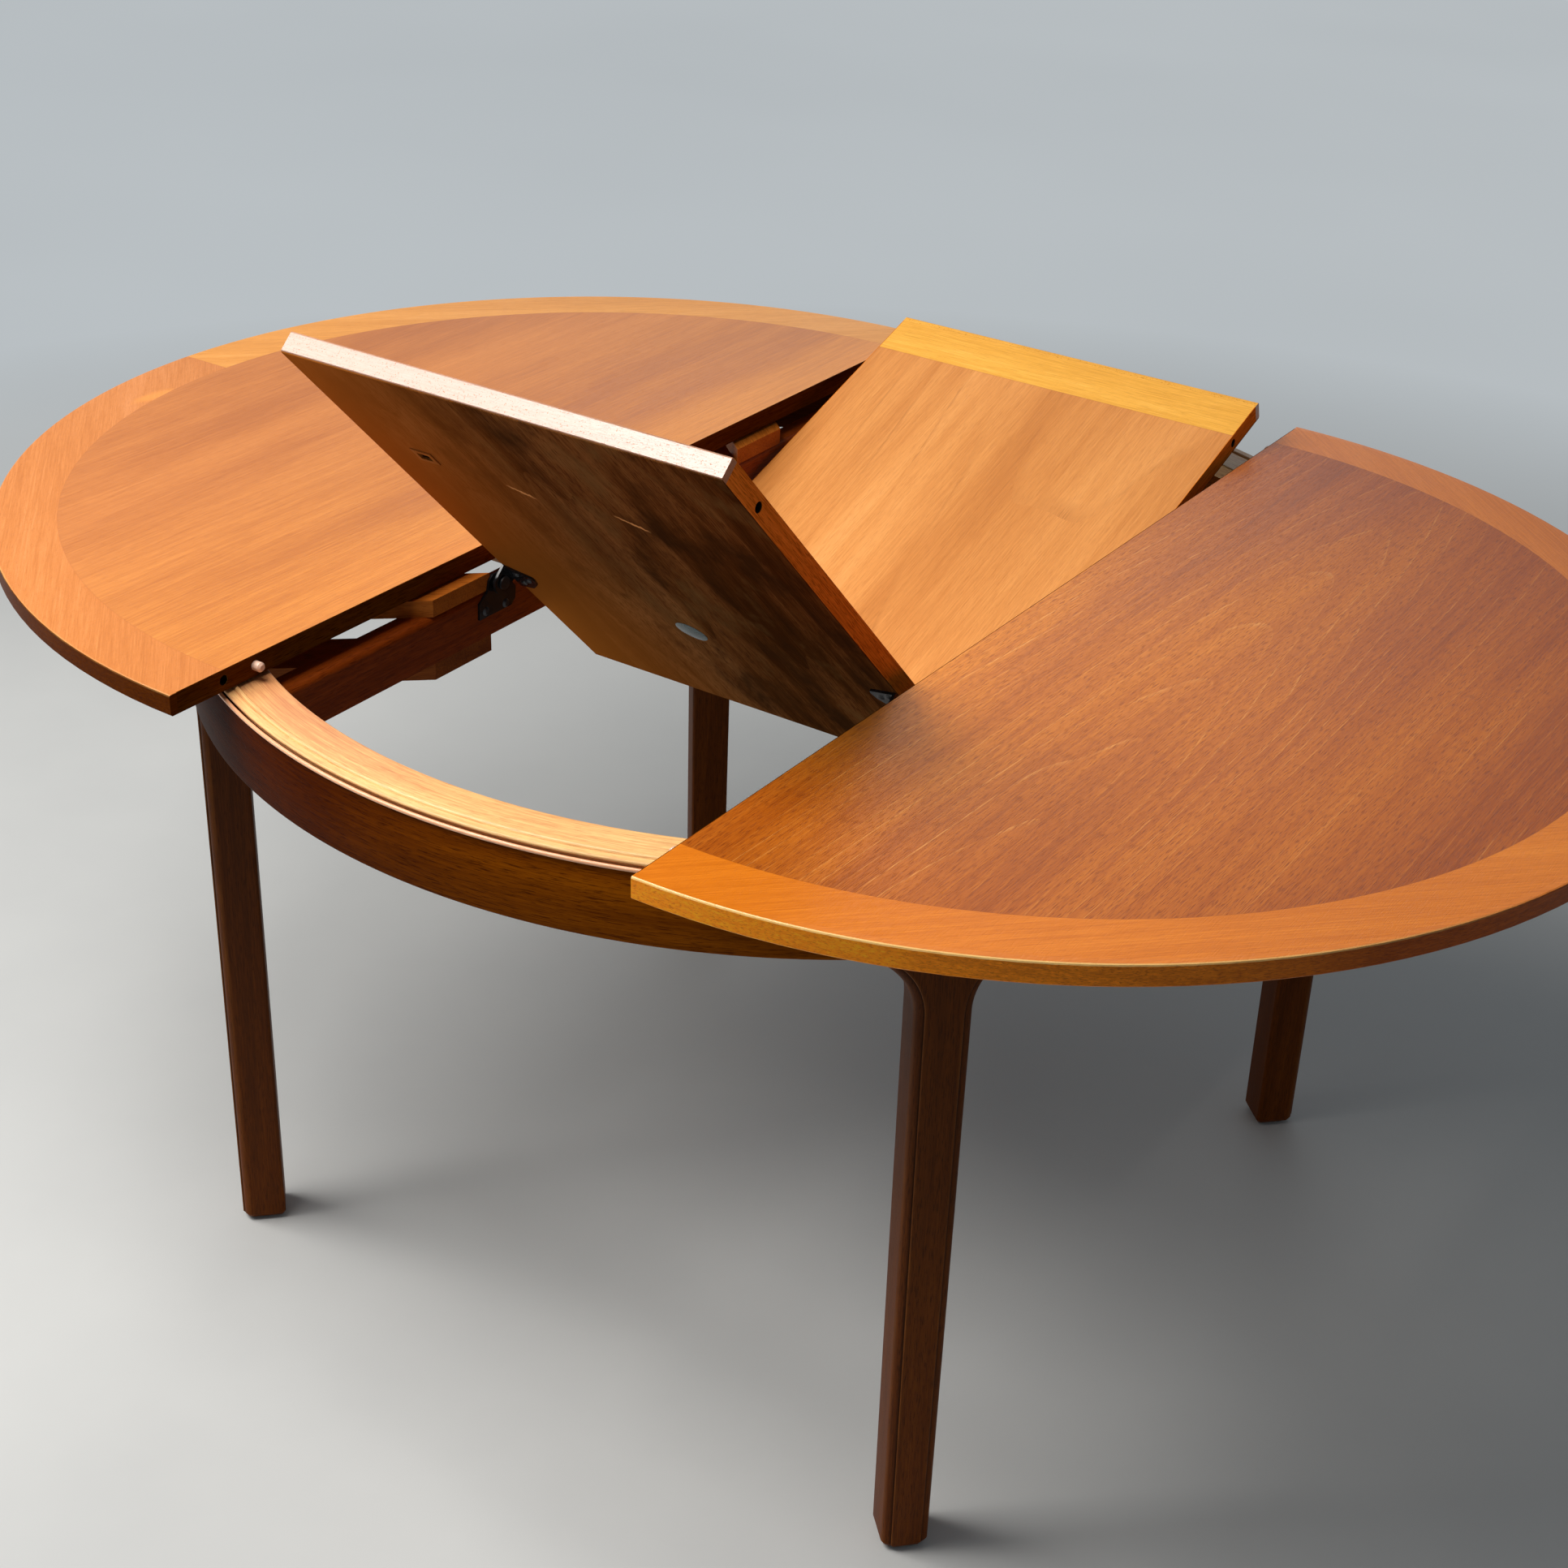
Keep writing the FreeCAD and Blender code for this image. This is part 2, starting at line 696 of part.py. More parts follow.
leaf_node("ear_screws", group(ear_screws), "front")

# Disc and strike plate on the front flap's underside
disc = rod((0, -size("disc_from_fold"), top_low - size("disc_thick")), "z", size("disc_radius"),
           size("disc_thick"))
leaf_node("underside_disc", group([disc]), "front")
rim = size("strike_rim")
strike_x = (slot_x[0] - rim, slot_x[1] + rim)
strike_y = (slot_y[0] - rim, slot_y[1] + rim)
strike = box(strike_x, strike_y, (top_low - size("strike_thick"), top_low))
slot = box(slot_x, slot_y, (top_low - size("strike_thick") - past, top_low + past))
leaf_node("strike_plate", cut(strike, [slot]), "front")

doc.recompute()

# Every object must be sound before anything is written
for item in doc.Objects:
    if "Invalid" in item.State or "Error" in item.State:
        raise RuntimeError("object %s is %s" % (item.Label, item.State))
os.makedirs("parts", exist_ok=True)
for label, item in nodes.items():
    shape = item.Shape
    if shape.isNull() or not shape.isValid():
        raise RuntimeError("shape of %s is not valid" % label)
    shape.exportStep("parts/%s.step" % label)
    bounds = shape.BoundBox
    spans = (bounds.XMin, bounds.XMax, bounds.YMin, bounds.YMax, bounds.ZMin, bounds.ZMax)
    print(label, len(shape.Solids), round(shape.Volume / 1000, 1), [round(v, 1) for v in spans])
print("nodes", len(nodes))
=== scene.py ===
import math

import bmesh
import bpy
import numpy as np
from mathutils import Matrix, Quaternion, Vector


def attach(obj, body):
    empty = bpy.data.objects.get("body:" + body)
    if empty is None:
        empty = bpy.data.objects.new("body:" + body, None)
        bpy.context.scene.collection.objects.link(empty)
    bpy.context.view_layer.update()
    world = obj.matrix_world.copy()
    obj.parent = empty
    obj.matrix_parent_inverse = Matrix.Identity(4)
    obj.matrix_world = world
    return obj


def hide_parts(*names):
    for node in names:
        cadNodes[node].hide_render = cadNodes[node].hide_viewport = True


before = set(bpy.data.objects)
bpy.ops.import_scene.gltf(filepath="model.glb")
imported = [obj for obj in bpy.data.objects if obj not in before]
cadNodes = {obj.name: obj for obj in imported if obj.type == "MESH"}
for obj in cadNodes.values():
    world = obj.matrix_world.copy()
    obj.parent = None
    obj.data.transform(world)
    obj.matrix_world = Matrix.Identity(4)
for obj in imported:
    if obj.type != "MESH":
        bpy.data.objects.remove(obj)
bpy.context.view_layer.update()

scene = bpy.context.scene
scene.view_settings.view_transform = "Standard"
quarterAngles = {"front_left": 225, "front_right": 315, "back_right": 45, "back_left": 135}
print("frame loaded:", len(cadNodes), "nodes")


# small helpers for shader nodes
def add(tree, kind, values=None, **settings):
    made = tree.nodes.new("ShaderNode" + kind)
    for key, value in settings.items():
        setattr(made, key, value)
    for key, value in (values or {}).items():
        if isinstance(value, bpy.types.NodeSocket):
            tree.links.new(value, made.inputs[key])
        else:
            made.inputs[key].default_value = value
    return made


def calc(tree, way, first, second=0.0, third=0.0):
    return add(tree, "Math", {0: first, 1: second, 2: third}, operation=way).outputs[0]


def vec(tree, way, first, second=(0.0, 0.0, 0.0)):
    return add(tree, "VectorMath", {0: first, 1: second}, operation=way).outputs[0]


def split(tree, vector):
    return add(tree, "SeparateXYZ", {0: vector}).outputs[:]


def join(tree, x, y, z):
    return add(tree, "CombineXYZ", {0: x, 1: y, 2: z}).outputs[0]


def rgba(colour):
    return (*colour, 1.0)


# mixes two colours; plain tuples become sockets' own values. A product never goes above full white
def mixTo(tree, factor, first, second, way="MIX"):
    ends = [c if isinstance(c, bpy.types.NodeSocket) else rgba(c) for c in (first, second)]
    made = add(tree, "Mix", {0: factor, 6: ends[0], 7: ends[1]}, data_type="RGBA", blend_type=way,
               clamp_result=way == "MULTIPLY")
    return made.outputs[2]


# 0 below low, 1 above high, straight in between
def ease(tree, value, low, high):
    return add(tree, "MapRange", {0: value, 1: low, 2: high, 3: 0.0, 4: 1.0}).outputs[0]


def length(tree, vector):
    return add(tree, "VectorMath", {0: vector}, operation="LENGTH").outputs["Value"]


def tint(tree, colour, tone):
    return mixTo(tree, 1.0, colour, tone, "MULTIPLY")


# 1 for what the camera, reflections and glass see, 0 for the light that falls on things
def seenRays(tree):
    light = add(tree, "LightPath").outputs
    seen = calc(tree, "MAXIMUM", light["Is Camera Ray"], light["Is Glossy Ray"])
    return calc(tree, "MAXIMUM", seen, light["Is Transmission Ray"])


def ramp(tree, value, stops):
    made = add(tree, "ValToRGB", {0: value})
    points = made.color_ramp.elements
    while len(points) < len(stops):
        points.new(1.0)
    for point, (place, colour) in zip(points, stops):
        point.position = place
        point.color = rgba(colour)
    return made.outputs[0]


def speckle(tree, vector, squeeze, detail=3.0, rough=0.55):
    spot = vec(tree, "MULTIPLY", vector, squeeze)
    return add(tree, "TexNoise", {"Vector": spot, "Scale": 1.0, "Detail": detail, "Roughness": rough})


def startFinish(name):
    made = bpy.data.materials.new(name)
    made.use_nodes = True
    tree = made.node_tree
    shader = tree.nodes["Principled BSDF"]
    place = add(tree, "TexCoord").outputs["Object"]
    return made, tree, shader, place


def endFinish(tree, shader, colour, rough, height, depth, shine=None):
    tree.links.new(colour, shader.inputs["Base Color"])
    tree.links.new(rough, shader.inputs["Roughness"])
    bump = add(tree, "Bump", {"Strength": 1.0, "Distance": depth, "Height": height})
    tree.links.new(bump.outputs[0], shader.inputs["Normal"])
    if isinstance(shine, bpy.types.NodeSocket):
        tree.links.new(shine, shader.inputs["Specular IOR Level"])
    elif shine is not None:
        shader.inputs["Specular IOR Level"].default_value = shine


# wood: X of the given vector runs along the grain. Tone = slow drift + soft stripes + fine fibres + growth
# rings, the rings being the distance from a heart line that leaves the board at a shallow angle. Each ring
# ends in a thin broken line, and short open pores lie along the grain
grain = {"drift": (1.1, 7.0, 7.0), "stripe": (1.7, 48.0, 48.0), "fibre": (18.0, 640.0, 640.0),
         "pore": (80.0, 1150.0, 1150.0), "stops": (0.26, 0.43, 0.55, 0.76)}


def woodLook(tree, along, wood):
    drift = speckle(tree, along, grain["drift"], 2.0, 0.5)
    stripe = speckle(tree, along, grain["stripe"], 3.0, 0.55).outputs[0]
    fibre = speckle(tree, along, grain["fibre"], 3.0, 0.6).outputs[0]
    pore = speckle(tree, along, grain["pore"], 2.0, 0.55).outputs[0]
    sway = vec(tree, "SUBTRACT", drift.outputs[1], (0.5, 0.5, 0.5))
    sway = vec(tree, "MULTIPLY", sway, (0.0, wood["sway"], wood["sway"]))
    swayed = vec(tree, "ADD", along, sway)
    heart = add(tree, "Mapping", {0: swayed, 1: wood["heart"], 2: (0.0, wood["lean"], 0.0)}).outputs[0]
    reach = length(tree, vec(tree, "MULTIPLY", heart, (0.0, 1.0, 1.0)))
    turn = calc(tree, "FRACT", calc(tree, "DIVIDE", reach, wood["ring"]))
    tone = 0.5 - 0.5 * (wood["drift"] + wood["stripe"] + wood["fibre"] + wood["rings"])
    tone = calc(tree, "MULTIPLY_ADD", drift.outputs[0], wood["drift"], tone)
    tone = calc(tree, "MULTIPLY_ADD", stripe, wood["stripe"], tone)
    tone = calc(tree, "MULTIPLY_ADD", fibre, wood["fibre"], tone)
    tone = calc(tree, "MULTIPLY_ADD", turn, wood["rings"], tone)
    colour = ramp(tree, tone, list(zip(grain["stops"], wood["tones"])))
    line = calc(tree, "MULTIPLY", ease(tree, turn, 0.92, 0.98), ease(tree, fibre, 0.38, 0.54))
    line = calc(tree, "MULTIPLY", line, ease(tree, stripe, 0.38, 0.62))
    colour = mixTo(tree, calc(tree, "MULTIPLY", line, wood["lines"]), colour, wood["lineTone"])
    hollow = ease(tree, pore, 0.52, 0.66)
    colour = mixTo(tree, calc(tree, "MULTIPLY", hollow, wood["pores"]), colour, wood["tones"][0])
    height = calc(tree, "MULTIPLY_ADD", hollow, -0.7, fibre)
    rough = calc(tree, "MULTIPLY_ADD", drift.outputs[0], 0.16, wood["rough"] - 0.12)
    rough = calc(tree, "MULTIPLY_ADD", fibre, 0.08, rough)
    return colour, height, rough


def plainWood(name, wood, turnTo):
    made, tree, shader, place = startFinish(name)
    colour, height, rough = woodLook(tree, turnTo(tree, place), wood)
    endFinish(tree, shader, colour, rough, height, wood["depth"], wood["shine"])
    return made


# grain along X, Y or Z, or along a line turned from X by some degrees in plan
def grainX(tree, place):
    return place


def grainY(tree, place):
    x, y, z = split(tree, place)
    return join(tree, y, x, z)


def grainZ(tree, place):
    x, y, z = split(tree, place)
    return join(tree, z, x, y)


def grainTurned(degrees):
    def turnTo(tree, place):
        turn = (0.0, 0.0, math.radians(-degrees))
        return add(tree, "Mapping", {0: place, 2: turn}).outputs[0]
    return turnTo


# grain round the ring: arc length, then height and distance from the middle
def grainRound(radius):
    def turnTo(tree, place):
        turned = add(tree, "Mapping", {0: place, 2: (0.0, 0.0, math.radians(45))}).outputs[0]
        x, y, z = split(tree, turned)
        angle = calc(tree, "ARCTAN2", y, x)
        flat = length(tree, join(tree, x, y, 0.0))
        return join(tree, calc(tree, "MULTIPLY", angle, radius), z, flat)
    return turnTo


# each wood: tones from deepest to palest, then how much each layer moves the tone
teakField = {
    "tones": ((0.31, 0.071, 0.003), (0.50, 0.132, 0.007), (0.62, 0.186, 0.014), (0.80, 0.284, 0.034)),
    "drift": 0.5, "stripe": 0.3, "fibre": 0.44, "rings": 0.05, "ring": 0.012, "sway": 0.05,
    "lines": 0.72, "lineTone": (0.86, 0.40, 0.12), "pores": 0.85,
    "heart": (0.0, -0.43, -0.655), "lean": -0.085, "rough": 0.36, "shine": 0.34, "depth": 0.0001,
}
teakLeft = dict(
    teakField, tones=((0.35, 0.092, 0.016), (0.50, 0.158, 0.026), (0.62, 0.216, 0.040), (0.79, 0.310, 0.072)),
    drift=0.56, stripe=0.17, fibre=0.36, lines=0.35, lineTone=(0.40, 0.110, 0.012),
    heart=(0.0, 0.9, -0.35), lean=0.03, ring=0.05, rings=0.02, pores=0.22)
teakFlap = dict(
    teakField, tones=((0.45, 0.140, 0.022), (0.63, 0.230, 0.046), (0.76, 0.308, 0.074), (0.92, 0.430, 0.132)),
    drift=0.6, stripe=0.22, fibre=0.28, lines=0.6, lineTone=(0.40, 0.120, 0.014),
    heart=(0.0, -0.12, 0.30), lean=0.09, ring=0.03, rings=0.05, pores=0.26, shine=0.42)
teakBand = dict(
    teakField, tones=((0.52, 0.134, 0.006), (0.62, 0.170, 0.009), (0.71, 0.208, 0.014), (0.82, 0.275, 0.030)),
    drift=0.35, stripe=0.24, fibre=0.55, lines=0.25, lineTone=(0.50, 0.125, 0.006),
    heart=(0.0, 0.3, 0.3), lean=0.02, ring=0.026, rings=0.03, pores=0.5)
teakEdge = dict(
    teakField, tones=((0.30, 0.076, 0.004), (0.46, 0.126, 0.007), (0.62, 0.182, 0.013), (0.78, 0.260, 0.030)),
    lines=0.3, lineTone=(0.32, 0.080, 0.004), heart=(0.0, 0.3, 0.3), lean=0.02, ring=0.007,
    rough=0.34)
darkStain = dict(
    teakField, tones=((0.046, 0.0105, 0.0006), (0.076, 0.0178, 0.0010),
                      (0.107, 0.0260, 0.0017), (0.155, 0.0410, 0.0036)),
    lines=0.4, lineTone=(0.05, 0.012, 0.001), heart=(0.0, 0.25, 0.30), lean=0.04, ring=0.02, rings=0.06,
    rough=0.48, shine=0.08)
apronStain = dict(
    darkStain, tones=((0.040, 0.0080, 0.0004), (0.070, 0.0165, 0.0007),
                      (0.100, 0.0260, 0.0012), (0.165, 0.0480, 0.0030)),
    rough=0.42, shine=0.015, stripe=0.45)
underStain = dict(
    darkStain, tones=((0.058, 0.0180, 0.0044), (0.116, 0.0390, 0.0098),
                      (0.172, 0.0620, 0.0176), (0.256, 0.1000, 0.0308)),
    drift=1.0, stripe=0.6, fibre=0.55, ring=0.045, rings=0.16, sway=0.2, heart=(0.0, 0.10, 0.16), lean=0.16,
    lines=0.7, lineTone=(0.024, 0.007, 0.0008))
beamStain = dict(
    darkStain, tones=((0.115, 0.016, 0.0010), (0.180, 0.029, 0.0019),
                      (0.245, 0.043, 0.0033), (0.340, 0.072, 0.0076)),
    rough=0.42)
braceStain = dict(
    darkStain, tones=((0.200, 0.046, 0.003), (0.300, 0.075, 0.006),
                      (0.400, 0.108, 0.011), (0.530, 0.168, 0.021)),
    rough=0.5)
# a darker copy of the brace stain: painted shade for the front lower braces
shadedBraceStain = dict(
    darkStain, tones=((0.110, 0.022, 0.0018), (0.170, 0.038, 0.0034),
                      (0.230, 0.056, 0.0060), (0.320, 0.090, 0.0120)),
    rough=0.46)
paleRing = dict(
    teakBand, tones=((0.58, 0.225, 0.090), (0.76, 0.385, 0.150), (0.86, 0.510, 0.200), (0.96, 0.680, 0.300)),
    lines=0.1, lineTone=(0.60, 0.240, 0.080), ring=0.03, rough=0.38, drift=0.85, stripe=0.2, fibre=0.6)
plainBeech = dict(
    teakBand, tones=((0.26, 0.105, 0.036), (0.36, 0.160, 0.060), (0.46, 0.220, 0.090), (0.58, 0.300, 0.140)),
    rough=0.55, lineTone=(0.28, 0.110, 0.040))
dowelBeech = dict(
    teakBand, tones=((0.58, 0.300, 0.190), (0.72, 0.420, 0.290), (0.82, 0.540, 0.400), (0.90, 0.680, 0.540)),
    rough=0.28, shine=0.7, lineTone=(0.60, 0.360, 0.240), stripe=0.1, fibre=0.12, pores=0.1, lines=0.05)
# painted shade for the inside of bores and slots
holeShadeTone = (0.012, 0.004, 0.001)


# half-round top: field grain along the cut edge; a border band of quarter segments with grain along their
# chords; a darker cut edge and underside
topLook = {"centre": 0.242, "bandStart": 0.5385, "joint": 0.0007, "faceLevel": 0.7395, "underLevel": 0.7205,
           "arris": 1.3383, "flash": (-0.7765, -0.112), "flashTone": (0.80, 0.30, 0.05),
           # painted light in the middle of the right field and painted shade toward its border
           "litMiddle": ((0.1, -0.15, 0.0), (2.0, 1.6, 0.0)), "rimShadeTone": (0.66, 0.52, 0.35),
           # a darker front strip, partly wood and partly a painted dark reflection; the pale rubbed arris
           # with a painted highlight
           "frontStainAndReflectTone": (0.66, 0.52, 0.30), "paleRubHighlight": (0.95, 0.62, 0.22), "radius": 0.6,
           # painted light on each field near its cut edge, painted shade further out
           "fade": {-1: ((1.07, 1.12, 1.02), (0.86, 0.83, 0.92)),
                    1: ((1.09, 1.11, 1.05), (0.92, 0.82, 0.62))}}


# how far a place lies out from the cut edge, and its distance from the middle of that edge
def topPlace(tree, place, sign):
    x, y, z = split(tree, place)
    out = calc(tree, "MULTIPLY_ADD", x, float(sign), -topLook["centre"])
    return x, y, z, out, length(tree, join(tree, out, y, 0.0))


# border band; the back segment is cut from another length of veneer than the front one
def bandLook(tree, out, y, z, tones):
    back = calc(tree, "GREATER_THAN", y, 0.0)
    side = calc(tree, "ABSOLUTE", y)
    along = calc(tree, "MULTIPLY", calc(tree, "SUBTRACT", out, side), math.sqrt(0.5))
    along = calc(tree, "MULTIPLY_ADD", back, 3.1, along)
    across = calc(tree, "MULTIPLY", calc(tree, "ADD", out, side), math.sqrt(0.5))
    colour = woodLook(tree, join(tree, along, across, z), teakBand)[0]
    return tint(tree, colour, mixTo(tree, back, *tones))


def topVeneer(name, sign, field, bandTones):
    made, tree, shader, place = startFinish(name)
    x, y, z, out, radius = topPlace(tree, place, sign)
    colour, height, rough = woodLook(tree, join(tree, y, x, z), field)
    # painted light near the cut edge, painted shade further out
    colour = tint(tree, colour, mixTo(tree, ease(tree, out, 0.05, 0.32), *topLook["fade"][sign]))
    inBand = calc(tree, "GREATER_THAN", radius, topLook["bandStart"])
    bandColour = bandLook(tree, out, y, z, bandTones)
    if sign > 0:
        # painted light in the middle, painted shade deeper toward the border
        middle, squeeze = topLook["litMiddle"]
        spot = vec(tree, "SUBTRACT", join(tree, out, y, 0.0), middle)
        far = length(tree, vec(tree, "MULTIPLY", spot, squeeze))
        colour = mixTo(tree, ease(tree, far, 0.3, 1.05), colour, tint(tree, colour, topLook["rimShadeTone"]))
        # and along the front of the cut edge: partly darker wood, partly a painted dark reflection of the
        # raised flap
        front = calc(tree, "MULTIPLY", ease(tree, out, 0.16, 0.03), ease(tree, y, -0.27, -0.42))
        colour = mixTo(tree, front, colour, tint(tree, colour, topLook["frontStainAndReflectTone"]))
    if sign < 0:
        # a pale flash of sapwood in the left band
        spot = vec(tree, "SUBTRACT", join(tree, x, y, 0.0), (*topLook["flash"], 0.0))
        far = length(tree, vec(tree, "MULTIPLY", spot, (1 / 0.012, 1 / 0.036, 0.0)))
        far = calc(tree, "ADD", far, speckle(tree, place, (60.0, 30.0, 1.0), 3.0, 0.6).outputs[0])
        flash = calc(tree, "MULTIPLY", ease(tree, far, 1.5, 0.9), 0.6)
        bandColour = mixTo(tree, flash, bandColour, topLook["flashTone"])
    colour = mixTo(tree, inBand, colour, bandColour)
    offLine = calc(tree, "ABSOLUTE", calc(tree, "SUBTRACT", radius, topLook["bandStart"]))
    line = calc(tree, "LESS_THAN", offLine, topLook["joint"])
    side = calc(tree, "ABSOLUTE", y)
    midLine = calc(tree, "MULTIPLY", calc(tree, "LESS_THAN", side, topLook["joint"]), inBand)
    seam = calc(tree, "MAXIMUM", line, midLine)
    colour = mixTo(tree, calc(tree, "MULTIPLY", seam, 0.2), colour, field["tones"][0])

    edgeColour = woodLook(tree, join(tree, y, z, x), apronStain)[0]
    atEdge = calc(tree, "LESS_THAN", out, 0.0006)
    under = calc(tree, "LESS_THAN", z, topLook["underLevel"])
    hidden = calc(tree, "MAXIMUM", atEdge, under)
    colour = mixTo(tree, hidden, colour, edgeColour)
    # painted shade inside the bores
    inHoleShade = calc(tree, "MULTIPLY", calc(tree, "LESS_THAN", z, topLook["faceLevel"]),
                  calc(tree, "GREATER_THAN", out, 0.001))
    inHoleShade = calc(tree, "MULTIPLY", inHoleShade, calc(tree, "GREATER_THAN", z, topLook["underLevel"]))
    colour = mixTo(tree, inHoleShade, colour, holeShadeTone)
    shine = calc(tree, "MULTIPLY_ADD", hidden, -field["shine"], field["shine"])
    endFinish(tree, shader, colour, rough, height, field["depth"], shine)
    return made


# lipping of a top: grain round the half circle, with painted light and shade along its side. Its upper face
# goes on from the border band and its arris is rubbed pale with a painted highlight, strongest at the front
def lippingWood(name, sign, wood, edgeLightShadeTones, bandTones, rubbed, shine):
    made, tree, shader, place = startFinish(name)
    x, y, z, out, radius = topPlace(tree, place, sign)
    arc = calc(tree, "MULTIPLY", calc(tree, "ARCTAN2", y, out), topLook["radius"])
    colour, height, rough = woodLook(tree, join(tree, arc, z, calc(tree, "MULTIPLY", out, 0.3)), wood)
    # painted light and shade along the side, from the front round to the rest
    colour = tint(tree, colour, mixTo(tree, ease(tree, arc, -0.75, -0.36), *edgeLightShadeTones))
    onFace = calc(tree, "GREATER_THAN", z, topLook["faceLevel"])
    colour = mixTo(tree, onFace, colour, bandLook(tree, out, y, z, bandTones))
    # pale rubbed arris with a painted highlight, fading toward the back
    arris = ease(tree, calc(tree, "ADD", radius, z), topLook["arris"] - 0.0001, topLook["arris"] + 0.0001)
    patch = speckle(tree, place, (9.0, 9.0, 9.0), 3.0, 0.6).outputs[0]
    arrisRubAndGleam = calc(tree, "MULTIPLY", arris, calc(tree, "MULTIPLY_ADD", patch, 0.5, rubbed))
    arrisRubAndGleam = calc(tree, "MULTIPLY", arrisRubAndGleam, ease(tree, y, -0.2, -0.5))
    colour = mixTo(tree, arrisRubAndGleam, colour, topLook["paleRubHighlight"])
    rough = calc(tree, "MULTIPLY_ADD", arrisRubAndGleam, -0.12, rough)
    shine = calc(tree, "MULTIPLY_ADD", onFace, 0.3, shine)
    endFinish(tree, shader, colour, rough, height, wood["depth"], shine)
    return made


# leaf flap in its own lying place: Y runs from the fold to the outer end, Z is 0 at the upper face
leafLook = {"bandStart": 0.538, "sideEdge": 0.2214, "faceLevel": -0.0006, "underLevel": -0.0194,
            "fold": (0.0, -0.036358, 0.587871), "frontLift": -46.4, "backLift": 19.0,
            "sideTone": (1.35, 1.3, 2.0), "endTone": (0.5, 0.62, 1.5)}
underTones = {"cloud": (0.038, 0.015, 0.0055), "olive": (0.180, 0.094, 0.032), "bounceWarmth": (0.47, 0.140, 0.019)}
# each scratch: place across and along the flap, turn in degrees, length
scratchLook = {"marks": ((-0.065, -0.4343, 23.7, 0.030), (0.0555, -0.4398, 23.2, 0.036)),
               "tone": (0.72, 0.34, 0.12)}


def layFlat(tree, place, lift):
    turn = (math.radians(lift), 0.0, 0.0)
    return add(tree, "Mapping", {0: place, 1: leafLook["fold"], 2: turn}, vector_type="TEXTURE").outputs[0]


def leafBand(tree, x, y, z, bandTone):
    return tint(tree, woodLook(tree, join(tree, x, y, z), teakBand)[0], bandTone)


# underside: dark stain over a lively figure, with painted bounce light warming it toward the left edge
def underLook(tree, x, y, z):
    colour = woodLook(tree, join(tree, y, x, z), underStain)[0]
    cloud = speckle(tree, join(tree, x, y, 0.0), (13.0, 6.0, 1.0), 5.0, 0.62).outputs[0]
    dark = calc(tree, "MULTIPLY", ease(tree, cloud, 0.50, 0.64), 0.8)
    colour = mixTo(tree, dark, colour, underTones["cloud"])
    olive = calc(tree, "MULTIPLY", ease(tree, cloud, 0.48, 0.34), ease(tree, x, -0.12, 0.05))
    colour = mixTo(tree, calc(tree, "MULTIPLY", olive, 0.6), colour, underTones["olive"])
    # painted bounce light toward the left edge
    bounceWarmth = calc(tree, "MULTIPLY", ease(tree, x, -0.02, -0.215), 0.72)
    return mixTo(tree, bounceWarmth, colour, underTones["bounceWarmth"])


def leafVeneer(name, lift, bandTone, marks):
    made, tree, shader, place = startFinish(name)
    laid = layFlat(tree, place, lift)
    x, y, z = split(tree, laid)
    colour, height, rough = woodLook(tree, join(tree, y, x, z), teakFlap)
    away = calc(tree, "ABSOLUTE", y)
    inBand = calc(tree, "GREATER_THAN", away, leafLook["bandStart"])
    colour = mixTo(tree, inBand, colour, leafBand(tree, x, y, z, bandTone))
    offLine = calc(tree, "ABSOLUTE", calc(tree, "SUBTRACT", away, leafLook["bandStart"]))
    line = calc(tree, "LESS_THAN", offLine, topLook["joint"])
    colour = mixTo(tree, calc(tree, "MULTIPLY", line, 0.3), colour, teakFlap["tones"][0])

    underColour = underLook(tree, x, y, z)
    for across, along, turned, long in marks:
        # a short broken scratch
        spot = add(tree, "Mapping", {0: laid, 1: (across, along, 0.0), 2: (0.0, 0.0, math.radians(turned))},
                   vector_type="TEXTURE").outputs[0]
        u, v, w = split(tree, spot)
        wander = speckle(tree, spot, (190.0, 60.0, 1.0), 4.0, 0.75).outputs[0]
        v = calc(tree, "ABSOLUTE", calc(tree, "MULTIPLY_ADD", calc(tree, "SUBTRACT", wander, 0.5), 0.009, v))
        fade = ease(tree, calc(tree, "ABSOLUTE", u), long * 0.5, long * 0.3)
        mark = calc(tree, "MULTIPLY", fade, ease(tree, v, 0.0026, 0.0007))
        underColour = mixTo(tree, mark, underColour, scratchLook["tone"])
    under = calc(tree, "LESS_THAN", z, leafLook["underLevel"])
    edgeColour = woodLook(tree, join(tree, y, z, x), teakEdge)[0]
    atSide = calc(tree, "GREATER_THAN", calc(tree, "ABSOLUTE", x), leafLook["sideEdge"])
    colour = mixTo(tree, atSide, colour, tint(tree, edgeColour, leafLook["sideTone"]))
    colour = mixTo(tree, under, colour, underColour)
    # painted shade inside the bores
    inHoleShade = calc(tree, "MULTIPLY", calc(tree, "LESS_THAN", z, leafLook["faceLevel"]),
                  calc(tree, "GREATER_THAN", z, leafLook["underLevel"]))
    inHoleShade = calc(tree, "MULTIPLY", inHoleShade, calc(tree, "GREATER_THAN", away, 0.001))
    inHoleShade = calc(tree, "MULTIPLY", inHoleShade, calc(tree, "SUBTRACT", 1.0, atSide))
    colour = mixTo(tree, inHoleShade, colour, holeShadeTone)
    dull = calc(tree, "MAXIMUM", under, atSide)
    shine = calc(tree, "MULTIPLY_ADD", dull, -teakFlap["shine"], teakFlap["shine"])
    rough = calc(tree, "MULTIPLY_ADD", dull, 0.14, rough)
    endFinish(tree, shader, colour, rough, height, teakFlap["depth"], shine)
    return made


